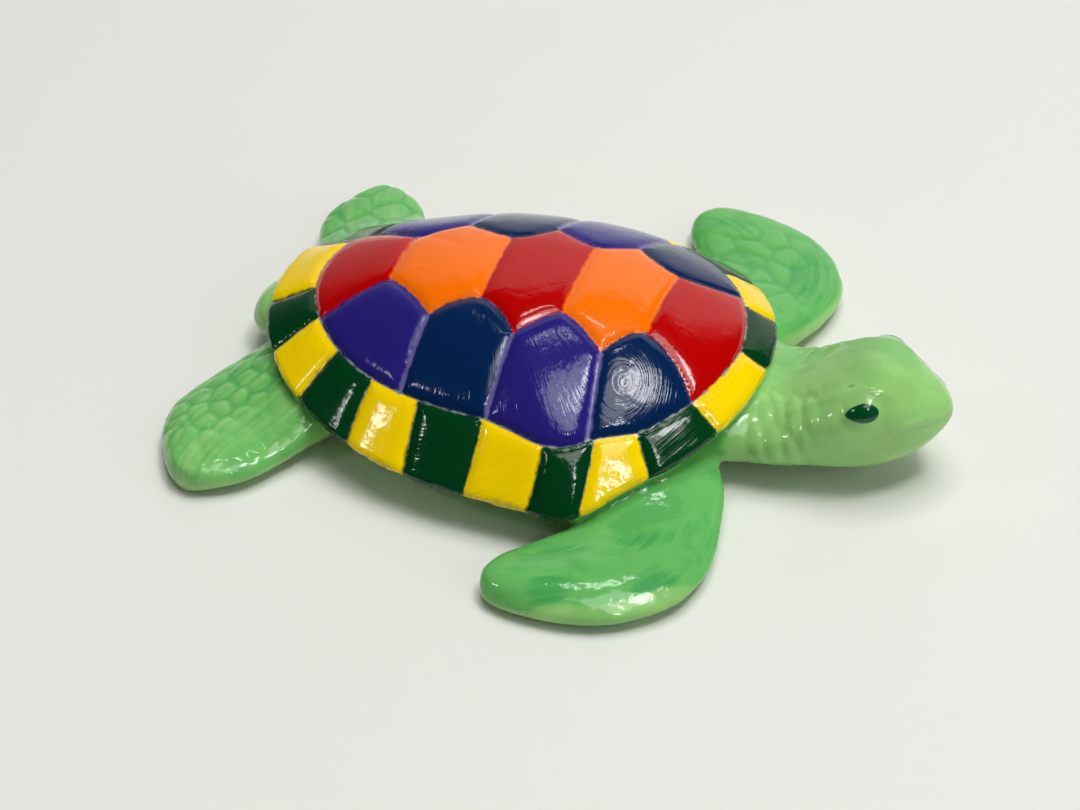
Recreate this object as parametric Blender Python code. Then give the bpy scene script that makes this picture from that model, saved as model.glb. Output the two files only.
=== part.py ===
"""Sea turtle figurine: one slip-cast ceramic body, 198 mm from beak to hind flipper.

The body is built lying on its belly: +X points along the head, +Y to the turtle's left and +Z up.
The origin is on the table plane, below the middle of the shell. Every form starts as a UV sphere
that a function reshapes (domed shell, head and neck, tail, four flippers). Exact Boolean unions join
them into one closed solid, and a last cut gives it the flat underside that it stands on.

Sizes are in millimetres until a vertex is written, and MM turns them into metres.
"""

import math

import bmesh
import bpy
from mathutils import Vector

MM = 0.001
COLLECTION = "sea_turtle_figurine"
OPERANDS = "union_operands"

# ---- Shell outline, seen from above -------------------------------------------------------
SHELL_FRONT = 69.5
SHELL_REAR = -67.2
SHELL_HALF_WIDTH = 57.2
WIDEST_AT = 15.0
FRONT_ROUNDNESS = 2.0
REAR_ROUNDNESS = 2.2
TAIL_SWING = 5.5  # the hind end of the shell curves this far to the turtle's left
# Where the hand-pressed rim strays: (degrees, spread in degrees, outward, downward).
RIM_STRAYS = ((-70.0, 10.0, 4.5, 1.5), (146.0, 19.0, -2.0, 2.0), (164.5, 5.0, -2.0, 1.3))

# ---- Shell heights ------------------------------------------------------------------------
RIM_SIDE_Z = 10.8
RIM_FRONT_Z = 21.2
RIM_REAR_Z = 19.5
CROWN_Z = 39.2
CROWN_AT = -4.5
DOME_POWER = 2.48
DOME_FRONT_FULLNESS = 0.43
DOME_SHOULDER = 1.11
RIM_THICKNESS = 2.8
HULL_TOP_SHARE = 0.945  # below the rounded rim, the hull starts at this share of the outline
HULL_BELLY_SHARE = 0.62  # and the flat belly's own outline is this share
BELOW_TABLE = 0.6  # every form reaches this far below the table before the flat cut
# Rows of the shell's mesh from the crown to the middle of the belly, and where each form begins.
SHELL_ROWS = 28
MARGIN_ROW = 15
RIM_ROW = 20
HULL_ROW = 22
BELLY_ROW = 26
SHELL_SPOKES = 100

# ---- Scutes -------------------------------------------------------------------------------
# Where the seams between two costal scutes meet the vertebral row: (x, half width of the row).
CUSPS = ((-45.0, 20.0), (-15.5, 20.0), (8.0, 22.6), (30.5, 21.8), (56.0, 22.4))
# Where each costal scute reaches furthest in, which is also where two vertebral scutes meet.
PEAKS = ((-29.6, 10.2), (-3.2, 13.4), (19.0, 14.6), (40.7, 13.2))
COSTAL_FEET_X = (-14.6, 9.5, 35.0)
PEAK_ROUNDING = 1.6
MARGIN_SHARE = 0.742
MARGIN_FRONT_RISE = 0.158
MARGIN_REAR_RISE = 0.03
# Seams between the marginal scutes, in degrees from the front seam, on the rim and at the inner line.
LEFT_SEAMS = (0, 23, 44, 65, 84, 101, 118, 135, 153, 170)
RIGHT_RIM_SEAMS = (190, 203, 216, 231, 247, 263, 280, 292, 311, 333, 360)
RIGHT_INNER_SEAMS = (190, 201, 214, 228, 245, 268, 288, 302, 314, 333, 360)
SCUTE_RISE = 1.2
SEAM_ROUNDING = 2.6

# ---- Head, neck and tail: (x, centre z, half width, height above, depth below, squareness) --
HEAD_STATIONS = (
    (46.0, 12.0, 22.0, 8.0, 9.0, 2.2),
    (62.0, 11.5, 23.5, 8.5, 9.0, 2.2),
    (70.0, 11.0, 21.5, 8.5, 8.6, 2.2),
    (77.0, 11.8, 21.3, 9.0, 8.7, 2.3),
    (85.0, 14.1, 20.0, 11.8, 10.0, 2.5),
    (93.0, 16.4, 18.8, 13.9, 11.6, 2.7),
    (99.0, 17.5, 17.2, 14.2, 11.9, 2.8),
    (104.0, 17.7, 14.5, 12.4, 11.2, 2.7),
    (108.5, 18.0, 11.4, 9.6, 9.8, 2.5),
    (112.5, 18.9, 7.8, 6.6, 7.6, 2.3),
    (115.5, 19.8, 4.0, 3.6, 4.4, 2.2),
    (117.0, 20.0, 1.2, 1.0, 1.6, 2.0),
)
TAIL_STATIONS = (
    (-48.0, 10.0, 14.0, 7.0, 7.0, 2.0),
    (-62.0, 10.0, 13.5, 7.0, 7.0, 2.0),
    (-67.0, 9.5, 12.3, 6.8, 6.8, 2.0),
    (-71.0, 9.0, 10.2, 5.8, 5.8, 2.0),
    (-74.0, 8.7, 6.8, 3.8, 4.0, 2.0),
    (-75.4, 8.6, 2.0, 1.2, 1.2, 2.0),
)
TAIL_Y = 2.5

# ---- Flippers: (leading edge x, y; trailing edge x, y; centre z; half thickness) ------------
FORE_STATIONS = (
    (58.0, 16.0, 20.0, 30.0, 9.5, 7.5),
    (67.5, 32.0, 32.0, 47.0, 7.0, 6.6),
    (71.5, 46.0, 34.5, 54.0, 5.6, 5.6),
    (73.4, 59.0, 35.0, 58.0, 4.9, 5.1),
    (71.4, 70.5, 33.0, 61.0, 4.7, 4.9),
    (65.2, 79.5, 30.0, 64.6, 4.6, 4.8),
    (55.0, 86.8, 26.0, 69.0, 4.5, 4.7),
    (43.0, 89.8, 22.3, 73.0, 4.4, 4.5),
    (31.0, 89.8, 20.3, 76.8, 4.2, 4.2),
    (24.2, 88.2, 19.6, 79.6, 3.9, 3.4),
    (21.0, 86.0, 19.7, 82.3, 3.6, 1.6),
)
HIND_STATIONS = (
    (-58.0, 2.0, -22.0, 22.0, 8.2, 8.0),
    (-66.0, 8.0, -29.8, 33.8, 7.9, 8.3),
    (-70.0, 17.0, -35.2, 43.0, 7.1, 7.5),
    (-75.0, 26.0, -38.7, 49.7, 5.8, 6.0),
    (-79.5, 37.0, -41.6, 55.2, 4.8, 5.0),
    (-81.0, 46.0, -44.5, 61.2, 4.7, 4.9),
    (-78.5, 55.0, -48.8, 66.4, 4.7, 4.8),
    (-73.0, 63.5, -54.0, 70.0, 4.6, 4.5),
    (-68.5, 68.5, -58.0, 71.8, 4.4, 3.9),
    (-65.0, 70.8, -61.0, 72.0, 4.2, 2.2),
)
FLIPPER_SQUARENESS = 2.3
FORE_PIVOT = (45.0, 30.0)
HIND_PIVOT = (-50.0, 20.0)
# Each flipper is modelled by hand, so each sits a little differently:
# (name, stations, side, pivot, shift x, shift outwards, swing in degrees, scale, bevel).
# The bevel is how far the top's leading half falls away early instead of at the edge.
FLIPPERS = (
    ("fore_flipper_right", FORE_STATIONS, -1, FORE_PIVOT, 0.5, -2.9, 1.5, 0.96, 1.0),
    ("fore_flipper_left", FORE_STATIONS, 1, FORE_PIVOT, -4.7, -4.9, -11.4, 1.0, 0.0),
    ("hind_flipper_right", HIND_STATIONS, -1, HIND_PIVOT, 1.1, -0.8, 5.9, 0.95, 0.7),
    ("hind_flipper_left", HIND_STATIONS, 1, HIND_PIVOT, -2.0, 9.6, 5.0, 0.74, 0.0),
)

# ---- Glazed paint -------------------------------------------------------------------------
TURTLE_GREEN = (0.215, 0.545, 0.165, 1.0)
GLAZE_ROUGHNESS = 0.15


def clear_scene():
    """Removes every object that the startup scene holds."""
    for obj in list(bpy.data.objects):
        bpy.data.objects.remove(obj, do_unlink=True)


def new_collection(name):
    """Makes a collection of this name in the scene."""
    collection = bpy.data.collections.new(name)
    bpy.context.scene.collection.children.link(collection)
    return collection


def glazed_paint():
    """Green underglaze below a clear gloss glaze."""
    material = bpy.data.materials.new("green_glazed_ceramic")
    material.use_nodes = True
    shader = material.node_tree.nodes["Principled BSDF"]
    shader.inputs["Base Color"].default_value = TURTLE_GREEN
    shader.inputs["Roughness"].default_value = GLAZE_ROUGHNESS
    shader.inputs["Metallic"].default_value = 0.0
    return material


def reshaped_sphere(name, segments, rings, shape):
    """A UV sphere whose every vertex is moved to shape(share of the way from pole to pole, angle)."""
    bm = bmesh.new()
    bmesh.ops.create_uvsphere(bm, u_segments=segments, v_segments=rings, radius=1.0)
    for vertex in bm.verts:
        share = math.acos(max(-1.0, min(1.0, vertex.co.z))) / math.pi
        angle = math.atan2(vertex.co.y, vertex.co.x)
        vertex.co = Vector(shape(share, angle)) * MM
    bmesh.ops.recalc_face_normals(bm, faces=bm.faces)
    mesh = bpy.data.meshes.new(name)
    bm.to_mesh(mesh)
    bm.free()
    return bpy.data.objects.new(name, mesh)


def signed_power(value, power):
    """value ** power that keeps the sign of value."""
    return math.copysign(abs(value) ** power, value)


def smooth_step(low, high, value):
    """0 below low, 1 above high and a smooth ramp between."""
    share = max(0.0, min(1.0, (value - low) / (high - low)))
    return share * share * (3.0 - 2.0 * share)


def stations_at(stations, share):
    """The stations' values at this share of their row, by a Catmull-Rom spline through them."""
    place = max(0.0, min(1.0, share)) * (len(stations) - 1)
    index = min(int(place), len(stations) - 2)
    t = place - index
    p1, p2 = stations[index], stations[index + 1]
    p0 = stations[index - 1] if index else [2 * a - b for a, b in zip(p1, p2)]
    last = index + 2 >= len(stations)
    p3 = [2 * b - a for a, b in zip(p1, p2)] if last else stations[index + 2]
    return [
        0.5 * (2 * b + (c - a) * t + (2 * a - 5 * b + 4 * c - d) * t * t + (3 * b - a - 3 * c + d) * t**3)
        for a, b, c, d in zip(p0, p1, p2, p3)
    ]


# ---- Shell ------------------------------------------------------------------------------------


def rim_stray(angle):
    """How far the rim strays outward and downward at this angle."""
    outward, downward = 0.0, 0.0
    for centre, spread, out, down in RIM_STRAYS:
        away = math.remainder(math.degrees(angle) - centre, 360.0)
        share = math.exp(-((away / spread) ** 2))
        outward += out * share
        downward += down * share
    return outward, downward


def rim_point(angle):
    """The shell's outline: two superellipse halves that share the widest line."""
    cos, sin = math.cos(angle), math.sin(angle)
    power = FRONT_ROUNDNESS if cos > 0 else REAR_ROUNDNESS
    reach = SHELL_FRONT - WIDEST_AT if cos > 0 else WIDEST_AT - SHELL_REAR
    radius = (abs(cos / reach) ** power + abs(sin / SHELL_HALF_WIDTH) ** power) ** (-1.0 / power)
    radius += rim_stray(angle)[0]
    return WIDEST_AT + radius * cos, radius * sin


def rim_height(angle):
    """The rim dips at the sides and rises to the neck and to the tail."""
    x = rim_point(angle)[0]
    dip = RIM_SIDE_Z - rim_stray(angle)[1]
    if x > WIDEST_AT:
        return dip + (RIM_FRONT_Z - RIM_SIDE_Z) * ((x - WIDEST_AT) / (SHELL_FRONT - WIDEST_AT)) ** 2
    return dip + (RIM_REAR_Z - RIM_SIDE_Z) * ((WIDEST_AT - x) / (WIDEST_AT - SHELL_REAR)) ** 2


def swung(x, y):
    """y after the hind end of the shell has curved to the left."""
    back = min(0.0, x - WIDEST_AT) / (WIDEST_AT - SHELL_REAR)
    return y + TAIL_SWING * back * back


def dome_point(angle, radius):
    """The smooth dome before its scutes, at a share of the way from the crown to the rim."""
    rim_x, rim_y = rim_point(angle)
    x = rim_x * radius + CROWN_AT * (1.0 - radius)
    y = rim_y * radius
    power = DOME_POWER + DOME_FRONT_FULLNESS * math.cos(angle)
    base = rim_height(angle) * radius**2 + RIM_SIDE_Z * (1.0 - radius**2)
    rise = (CROWN_Z - RIM_SIDE_Z) * max(0.0, 1.0 - radius**power) ** DOME_SHOULDER
    return Vector((x, swung(x, y), base + rise))


def vertebral_half_width(x):
    """Half the width of the row of scutes down the back: cusps outwards and round bays inwards."""
    x = max(CUSPS[0][0], min(CUSPS[-1][0], x))
    for (x0, w0), (xp, wp), (x1, w1) in zip(CUSPS, PEAKS, CUSPS[1:]):
        if x <= x1:
            cusp_x, cusp_w = (x0, w0) if x < xp else (x1, w1)
            return wp + (cusp_w - wp) * abs((x - xp) / (cusp_x - xp)) ** PEAK_ROUNDING
    return CUSPS[-1][1]


def margin_share(angle):
    """Where the marginal scutes begin, as a share of the way from the crown to the rim."""
    front = ((1.0 + math.cos(angle)) / 2.0) ** 2.3
    rear = ((1.0 - math.cos(angle)) / 2.0) ** 6
    return MARGIN_SHARE + MARGIN_FRONT_RISE * front + MARGIN_REAR_RISE * rear


def marginal_seams(outward):
    """All seams between marginal scutes, in radians, from the inner line (0) out to the rim (1)."""
    right = [a + (b - a) * outward for a, b in zip(RIGHT_INNER_SEAMS, RIGHT_RIM_SEAMS)]
    return [math.radians(a) for a in (*LEFT_SEAMS, *right)]


def marginal_seam_distance(angle, radius):
    """Millimetres along the rim from this place to the nearest seam between marginal scutes."""
    rim_x, rim_y = rim_point(angle)
    inner = margin_share(angle)
    seams = marginal_seams((radius - inner) / (1.0 - inner))
    return radius * math.hypot(rim_x - CROWN_AT, rim_y) * min(
        abs(math.remainder(angle - seam, math.tau)) for seam in seams
    )


def spoke_angle(angle, outward):
    """Turns evenly spaced spokes so that every fifth one runs along a seam between marginal scutes."""
    seams = marginal_seams(outward)
    place = (angle / math.tau % 1.0) * (len(seams) - 1)
    index = min(int(place + 1e-6), len(seams) - 2)
    return seams[index] + (seams[index + 1] - seams[index]) * (place - index)


def seam_distance(angle, radius):
    """Millimetres from this place on the dome to the nearest seam between two scutes."""
    rim_x, rim_y = rim_point(angle)
    x = rim_x * radius + CROWN_AT * (1.0 - radius)
    side = abs(rim_y * radius)
    arm = math.hypot(rim_x - CROWN_AT, rim_y)
    to_margin = abs(radius - margin_share(angle)) * arm
    if radius > margin_share(angle):
        return min(to_margin, marginal_seam_distance(angle, radius))
    row = vertebral_half_width(x)
    to_row = abs(side - row) * 0.8
    if CUSPS[0][0] > x or x > CUSPS[-1][0]:
        to_row = math.hypot(side - row, min(abs(x - CUSPS[0][0]), abs(x - CUSPS[-1][0])))
    if side < row:
        across = min(abs(x - peak_x) for peak_x, _ in PEAKS)
    else:
        down = min(1.0, (side - row) / 19.0)
        across = min(abs(x - cx - (foot - cx) * down) for (cx, _), foot in zip(CUSPS[1:-1], COSTAL_FEET_X))
    return min(to_margin, to_row, across)


def scuted_point(angle, radius):
    """The dome with its scutes raised between the seams."""
    step = 0.004
    nearer = min(radius, 1.0 - step)
    wider = max(radius, 0.05)
    out = dome_point(angle, nearer + step) - dome_point(angle, nearer)
    along = dome_point(angle + step, wider) - dome_point(angle, wider)
    normal = out.cross(along).normalized()
    rise = SCUTE_RISE * (1.0 - math.exp(-seam_distance(angle, radius) / SEAM_ROUNDING))
    return dome_point(angle, radius) + normal * rise * smooth_step(1.0, 0.97, radius)


def shell_point(share, angle):
    """The whole shell: scuted dome, rounded rim, then the hull in to a flat belly."""
    row = share * SHELL_ROWS
    if row <= RIM_ROW:
        outward = max(0.0, (row - MARGIN_ROW) / (RIM_ROW - MARGIN_ROW))
        turned = spoke_angle(angle, outward)
        inner = margin_share(turned)
        if row <= MARGIN_ROW:
            return scuted_point(turned, inner * row / MARGIN_ROW)
        return scuted_point(turned, inner + (1.0 - inner) * outward)
    turned = spoke_angle(angle, 1.0)
    rim_x, rim_y = rim_point(turned)
    rim_z = rim_height(turned)
    low = rim_z - RIM_THICKNESS
    if row <= HULL_ROW:
        turn = (row - RIM_ROW) / (HULL_ROW - RIM_ROW) * math.pi
        scale = 1.0 - (1.0 - HULL_TOP_SHARE) * (1.0 - math.cos(turn)) / 2.0 + 0.005 * math.sin(turn)
        height = rim_z - RIM_THICKNESS * (1.0 - math.cos(turn)) / 2.0
    elif row <= BELLY_ROW:
        inward = (row - HULL_ROW) / (BELLY_ROW - HULL_ROW)
        scale = HULL_TOP_SHARE - (HULL_TOP_SHARE - HULL_BELLY_SHARE) * inward
        height = low - (low + BELOW_TABLE) * smooth_step(0.0, 1.0, inward)
    else:
        scale = HULL_BELLY_SHARE * (SHELL_ROWS - row) / (SHELL_ROWS - BELLY_ROW)
        height = -BELOW_TABLE
    return Vector((rim_x * scale, swung(rim_x, rim_y * scale), height))


# ---- Head, tail and flippers --------------------------------------------------------------------


def round_section(x, centre_y, centre_z, half_width, above, below, squareness, angle):
    """A point on a superellipse section that stands across the X axis."""
    power = 2.0 / squareness
    side = signed_power(math.cos(angle), power) * half_width
    height = signed_power(math.sin(angle), power)
    return x, centre_y + side, centre_z + height * (above if height > 0 else below)


def body_of_stations(name, segments, rings, stations, centre_y):
    """A round form along X through the stations, such as the head and neck."""

    def shape(share, angle):
        x, z, width, above, below, square = stations_at(stations, share)
        if share < 1e-6 or share > 1.0 - 1e-6:
            return x, centre_y, z
        return round_section(x, centre_y, z, width, above, below, square, angle)

    return reshaped_sphere(name, segments, rings, shape)


def flipper(name, stations, side, pivot, shift_x, shift_out, swing, scale, bevel):
    """A thick paddle between its leading and trailing edges, swung and scaled about the shoulder."""
    cos, sin = math.cos(math.radians(swing)), math.sin(math.radians(swing))

    def placed(x, y):
        along, out = (x - pivot[0]) * scale, (y - pivot[1]) * scale
        return pivot[0] + cos * along - sin * out + shift_x, pivot[1] + sin * along + cos * out + shift_out

    def shape(share, angle):
        lead_x, lead_y, trail_x, trail_y, z, half = stations_at(stations, share)
        if share < 1e-6 or share > 1.0 - 1e-6:
            across, height = 0.0, 0.0
        else:
            across = signed_power(math.cos(angle), 2.0 / FLIPPER_SQUARENESS)
            height = signed_power(math.sin(angle), 2.0 / FLIPPER_SQUARENESS)
            if across > 0.0 and height > 0.0:
                height += (1.0 - across**3 - height) * bevel
        x = (lead_x + trail_x) / 2 + across * (lead_x - trail_x) / 2
        y = (lead_y + trail_y) / 2 + across * (lead_y - trail_y) / 2
        x, y = placed(x, y)
        return x, side * y, z + height * half

    return reshaped_sphere(name, 20, 18, shape)


def table_cutter():
    """A slab below the table plane: what it removes leaves the flat places that touch the table."""
    bm = bmesh.new()
    bmesh.ops.create_cube(bm, size=1.0)
    bmesh.ops.scale(bm, vec=(300 * MM, 300 * MM, 10 * MM), verts=bm.verts)
    bmesh.ops.translate(bm, vec=(0.0, 0.0, -5 * MM), verts=bm.verts)
    mesh = bpy.data.meshes.new("table_cutter")
    bm.to_mesh(mesh)
    bm.free()
    return bpy.data.objects.new("table_cutter", mesh)


def add_boolean(target, operand, operation):
    """Joins or cuts target with an operand that stays in the file as a wire guide."""
    modifier = target.modifiers.new(operand.name, "BOOLEAN")
    modifier.object = operand
    modifier.operation = operation
    modifier.solver = "EXACT"
    operand.hide_render = True
    operand.display_type = "WIRE"


def build():
    """Builds the figurine as one closed body."""
    clear_scene()
    parts = new_collection(COLLECTION)
    operands = new_collection(OPERANDS)
    turtle = reshaped_sphere("sea_turtle", SHELL_SPOKES, SHELL_ROWS, shell_point)
    parts.objects.link(turtle)
    turtle.data.materials.append(glazed_paint())
    forms = [
        body_of_stations("head_and_neck", 24, 22, HEAD_STATIONS, 0.0),
        body_of_stations("tail", 14, 9, TAIL_STATIONS, TAIL_Y),
    ]
    forms += [flipper(*row) for row in FLIPPERS]
    for form in forms:
        operands.objects.link(form)
        add_boolean(turtle, form, "UNION")
    slab = table_cutter()
    operands.objects.link(slab)
    add_boolean(turtle, slab, "DIFFERENCE")
    turtle.data.shade_smooth()
    turtle.data.set_sharp_from_angle(angle=math.radians(40.0))


build()
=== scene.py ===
"""Looks of a hand-painted, glazed ceramic sea turtle that lies flat on its belly.

The turtle is one slip casting. Its forms (shell, head and neck, tail, four flippers) are fused into one
skin, the scutes and scales are raised on it, and underglaze colours under a clear gloss glaze follow
the same scutes. Lengths are in millimetres until a vertex is written: +X is the head, +Y the turtle's left.
"""

from __future__ import annotations

import logging
import math
from collections.abc import Sequence
from dataclasses import dataclass, field
from enum import Enum

import bpy
import numpy as np
from mathutils import Matrix, Vector


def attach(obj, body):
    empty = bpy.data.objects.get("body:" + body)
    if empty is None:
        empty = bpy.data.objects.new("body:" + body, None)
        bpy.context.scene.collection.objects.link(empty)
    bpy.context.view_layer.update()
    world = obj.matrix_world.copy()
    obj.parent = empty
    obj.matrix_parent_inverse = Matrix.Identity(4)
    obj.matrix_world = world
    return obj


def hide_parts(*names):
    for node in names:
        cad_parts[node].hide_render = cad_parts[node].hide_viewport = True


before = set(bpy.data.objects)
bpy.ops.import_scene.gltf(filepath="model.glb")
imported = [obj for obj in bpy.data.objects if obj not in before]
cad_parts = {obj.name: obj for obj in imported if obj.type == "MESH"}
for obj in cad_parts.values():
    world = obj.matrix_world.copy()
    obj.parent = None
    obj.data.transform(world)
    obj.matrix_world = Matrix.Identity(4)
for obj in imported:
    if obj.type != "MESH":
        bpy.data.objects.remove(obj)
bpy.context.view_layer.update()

LOG = logging.getLogger("sea_turtle")
MM = 0.001
FAR = 9.0  # millimetres that stand for well away
NODE = "sea_turtle"
Rows = tuple[tuple[float, ...], ...]
Colour = tuple[float, float, float, float]
Socket = bpy.types.NodeSocket


def smooth_step(low: float, high: float, value: np.ndarray) -> np.ndarray:
    """Ramp smoothly from 0 at low to 1 at high.

    Args:
        low: Value where the ramp starts.
        high: Value where the ramp ends. It may be lower than low.
        value: Values to map.

    Returns:
        The ramp's values.
    """
    share = np.clip((value - low) / (high - low), 0.0, 1.0)
    return share * share * (3.0 - 2.0 * share)


def signed_power(value: np.ndarray, power: float | np.ndarray) -> np.ndarray:
    """Raise the size of each value to a power and keep its sign."""
    return np.copysign(np.abs(value) ** power, value)


def along_stations(stations: Rows, share: np.ndarray) -> np.ndarray:
    """Follow a Catmull-Rom spline through rows of sizes.

    Args:
        stations: Rows of sizes, evenly spaced along the form.
        share: Places along the form, 0 to 1.

    Returns:
        One row of sizes for each place.
    """
    rows = np.array(stations)
    padded = np.vstack([2 * rows[0] - rows[1], rows, 2 * rows[-1] - rows[-2]])
    place = np.clip(share, 0.0, 1.0) * (len(rows) - 1)
    index = np.minimum(place.astype(int), len(rows) - 2)
    t = (place - index)[:, None]
    a, b, c, d = (padded[index + k] for k in range(4))
    linear, square, cube = c - a, 2 * a - 5 * b + 4 * c - d, 3 * b - a - 3 * c + d
    return 0.5 * (2 * b + linear * t + square * t**2 + cube * t**3)


@dataclass
class Form:
    """A closed form as rings of points between two poles, in millimetres."""

    name: str
    rings: np.ndarray
    poles: tuple[np.ndarray, np.ndarray]

    def points(self) -> np.ndarray:
        """All points: the first pole, each ring in turn, then the last pole."""
        return np.vstack([self.poles[0][None], self.rings.reshape(-1, 3), self.poles[1][None]])

    def faces(self) -> list[tuple[int, ...]]:
        """Triangles at the poles and quads between the rings.

        Returns:
            The point numbers of each face.
        """
        rows, columns = self.rings.shape[:2]
        last = rows * columns + 1
        found: list[tuple[int, ...]] = []
        for column in range(columns):
            after = (column + 1) % columns
            found.append((0, 1 + after, 1 + column))
            low = last - columns
            found.append((last, low + column, low + after))
            for row in range(rows - 1):
                here, there = 1 + row * columns, 1 + (row + 1) * columns
                found.append((here + column, here + after, there + after, there + column))
        return found


@dataclass(frozen=True)
class Shell:
    """The domed shell, its rounded rim and the hull that narrows to a flat belly."""

    front: float = 69.5
    rear: float = -67.2
    half_width: float = 57.2
    widest_at: float = 15.0
    front_roundness: float = 2.0
    rear_roundness: float = 2.2
    tail_swing: float = 5.5  # the hind end curves this far to the turtle's left
    rim_side: float = 10.8
    rim_front: float = 21.2
    rim_rear: float = 19.5
    crown: float = 39.2
    crown_at: float = -4.5
    dome_power: float = 2.48
    front_fullness: float = 0.43
    shoulder: float = 1.11
    rim_thickness: float = 2.8
    rim_swell: float = 0.005  # how far the rim's rounded edge stands out, as a share of the outline
    hull_top: float = 0.945  # shares of the outline where the hull starts under the rim and where it ends
    hull_belly: float = 0.62
    below_table: float = 0.6  # the belly is cut flat at the table
    uneven: Rows = ((-70.0, 10.0, 4.5, 1.5), (146.0, 19.0, -2.0, 2.0), (164.5, 5.0, -2.0, 1.3))
    columns: int = 300
    dome_rings: int = 90

    def strays(self, angle: np.ndarray) -> tuple[np.ndarray, np.ndarray]:
        """How far the rim strays from its plain outline; a row of uneven is (degrees, spread, out, down).

        Args:
            angle: Angles round the shell, in radians.

        Returns:
            Millimetres outward and downward.
        """
        outward, downward = np.zeros_like(angle), np.zeros_like(angle)
        for centre, spread, out, down in self.uneven:
            away = (np.degrees(angle) - centre + 180.0) % 360.0 - 180.0
            share = np.exp(-((away / spread) ** 2))
            outward += out * share
            downward += down * share
        return outward, downward

    def rim(self, angle: np.ndarray) -> tuple[np.ndarray, np.ndarray]:
        """The outline seen from above: two superellipse halves that share the widest line.

        Args:
            angle: Angles round the shell, in radians.

        Returns:
            The outline's x and y, before the hind end swings.
        """
        cos, sin = np.cos(angle), np.sin(angle)
        power = np.where(cos > 0, self.front_roundness, self.rear_roundness)
        reach = np.where(cos > 0, self.front - self.widest_at, self.widest_at - self.rear)
        radius = (np.abs(cos / reach) ** power + np.abs(sin / self.half_width) ** power) ** (-1 / power)
        radius = radius + self.strays(angle)[0]
        return self.widest_at + radius * cos, radius * sin

    def rim_height(self, angle: np.ndarray) -> np.ndarray:
        """The rim dips at the sides and rises to the neck and to the tail.

        Args:
            angle: Angles round the shell, in radians.

        Returns:
            The height of the rim's upper edge.
        """
        x = self.rim(angle)[0]
        ahead = np.clip((x - self.widest_at) / (self.front - self.widest_at), 0.0, None)
        behind = np.clip((self.widest_at - x) / (self.widest_at - self.rear), 0.0, None)
        front_rise = (self.rim_front - self.rim_side) * ahead**2
        rear_rise = (self.rim_rear - self.rim_side) * behind**2
        return self.rim_side + front_rise + rear_rise - self.strays(angle)[1]

    def swing(self, x: np.ndarray) -> np.ndarray:
        """How far the hind end has curved to the left at x."""
        behind = np.minimum(0.0, x - self.widest_at) / (self.widest_at - self.rear)
        return self.tail_swing * behind**2

    def dome(self, angle: np.ndarray, radius: np.ndarray) -> np.ndarray:
        """Points of the smooth dome.

        Args:
            angle: Angles round the shell, in radians.
            radius: Shares of the way from the crown (0) to the rim (1).

        Returns:
            One point for each angle and share.
        """
        rim_x, rim_y = self.rim(angle)
        x = rim_x * radius + self.crown_at * (1 - radius)
        power = self.dome_power + self.front_fullness * np.cos(angle)
        base = self.rim_height(angle) * radius**2 + self.rim_side * (1 - radius**2)
        rise = (self.crown - self.rim_side) * np.clip(1 - radius**power, 0, 1) ** self.shoulder
        return np.stack([x, rim_y * radius + self.swing(x), base + rise], axis=-1)

    def locate(self, x: np.ndarray, y: np.ndarray) -> tuple[np.ndarray, np.ndarray]:
        """Find where places seen from above lie on the dome.

        Args:
            x: Places along the turtle.
            y: Places across it.

        Returns:
            The dome's angle in radians, and the share of the way from the crown to the rim.
        """
        side = y - self.swing(x)
        fine = 6001  # angles, close enough to read between them in straight lines
        angles = np.linspace(-math.pi, math.pi, fine)
        rim_x, rim_y = self.rim(angles)
        bearing = np.arctan2(rim_y, rim_x - self.crown_at)
        bearing[0], bearing[-1] = -math.pi, math.pi
        angle = np.interp(np.arctan2(side, x - self.crown_at), bearing, angles)
        rim_x, rim_y = self.rim(angle)
        reach = np.hypot(rim_x - self.crown_at, rim_y)
        return angle, np.hypot(x - self.crown_at, side) / reach

    def form(self) -> Form:
        """The whole shell as rings from the crown round the rim to the middle of the belly.

        Returns:
            The shell's form.
        """
        angle = np.linspace(0.0, math.tau, self.columns, endpoint=False)
        rim_x, rim_y = self.rim(angle)
        rim_z = self.rim_height(angle)
        shares = np.linspace(0.01, 1.0, self.dome_rings)
        rings = [self.dome(angle, np.full_like(angle, share)) for share in shares]
        low = rim_z - self.rim_thickness
        profile: list[tuple[float, np.ndarray]] = []
        for turn in np.linspace(0.0, math.pi, 9)[1:]:  # round the rim's edge
            drop = (1 - math.cos(turn)) / 2
            scale = 1 - (1 - self.hull_top) * drop + self.rim_swell * math.sin(turn)
            profile.append((scale, rim_z - self.rim_thickness * drop))
        for inward in np.linspace(0.0, 1.0, 26)[1:]:  # down the hull
            curve = inward * inward * (3 - 2 * inward)
            scale = self.hull_top - (self.hull_top - self.hull_belly) * inward
            profile.append((scale, low - (low + self.below_table) * curve))
        for share in np.linspace(1.0, 0.0, 20)[1:-1]:  # across the belly
            profile.append((self.hull_belly * share, np.full_like(rim_z, -self.below_table)))
        for scale, height in profile:
            x = rim_x * scale
            rings.append(np.stack([x, rim_y * scale + self.swing(rim_x), height], axis=-1))
        crown = self.dome(np.array([0.0]), np.array([0.0]))[0]
        belly = np.array([0.0, 0.0, -self.below_table])
        return Form("shell", np.array(rings), (crown, belly))


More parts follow.
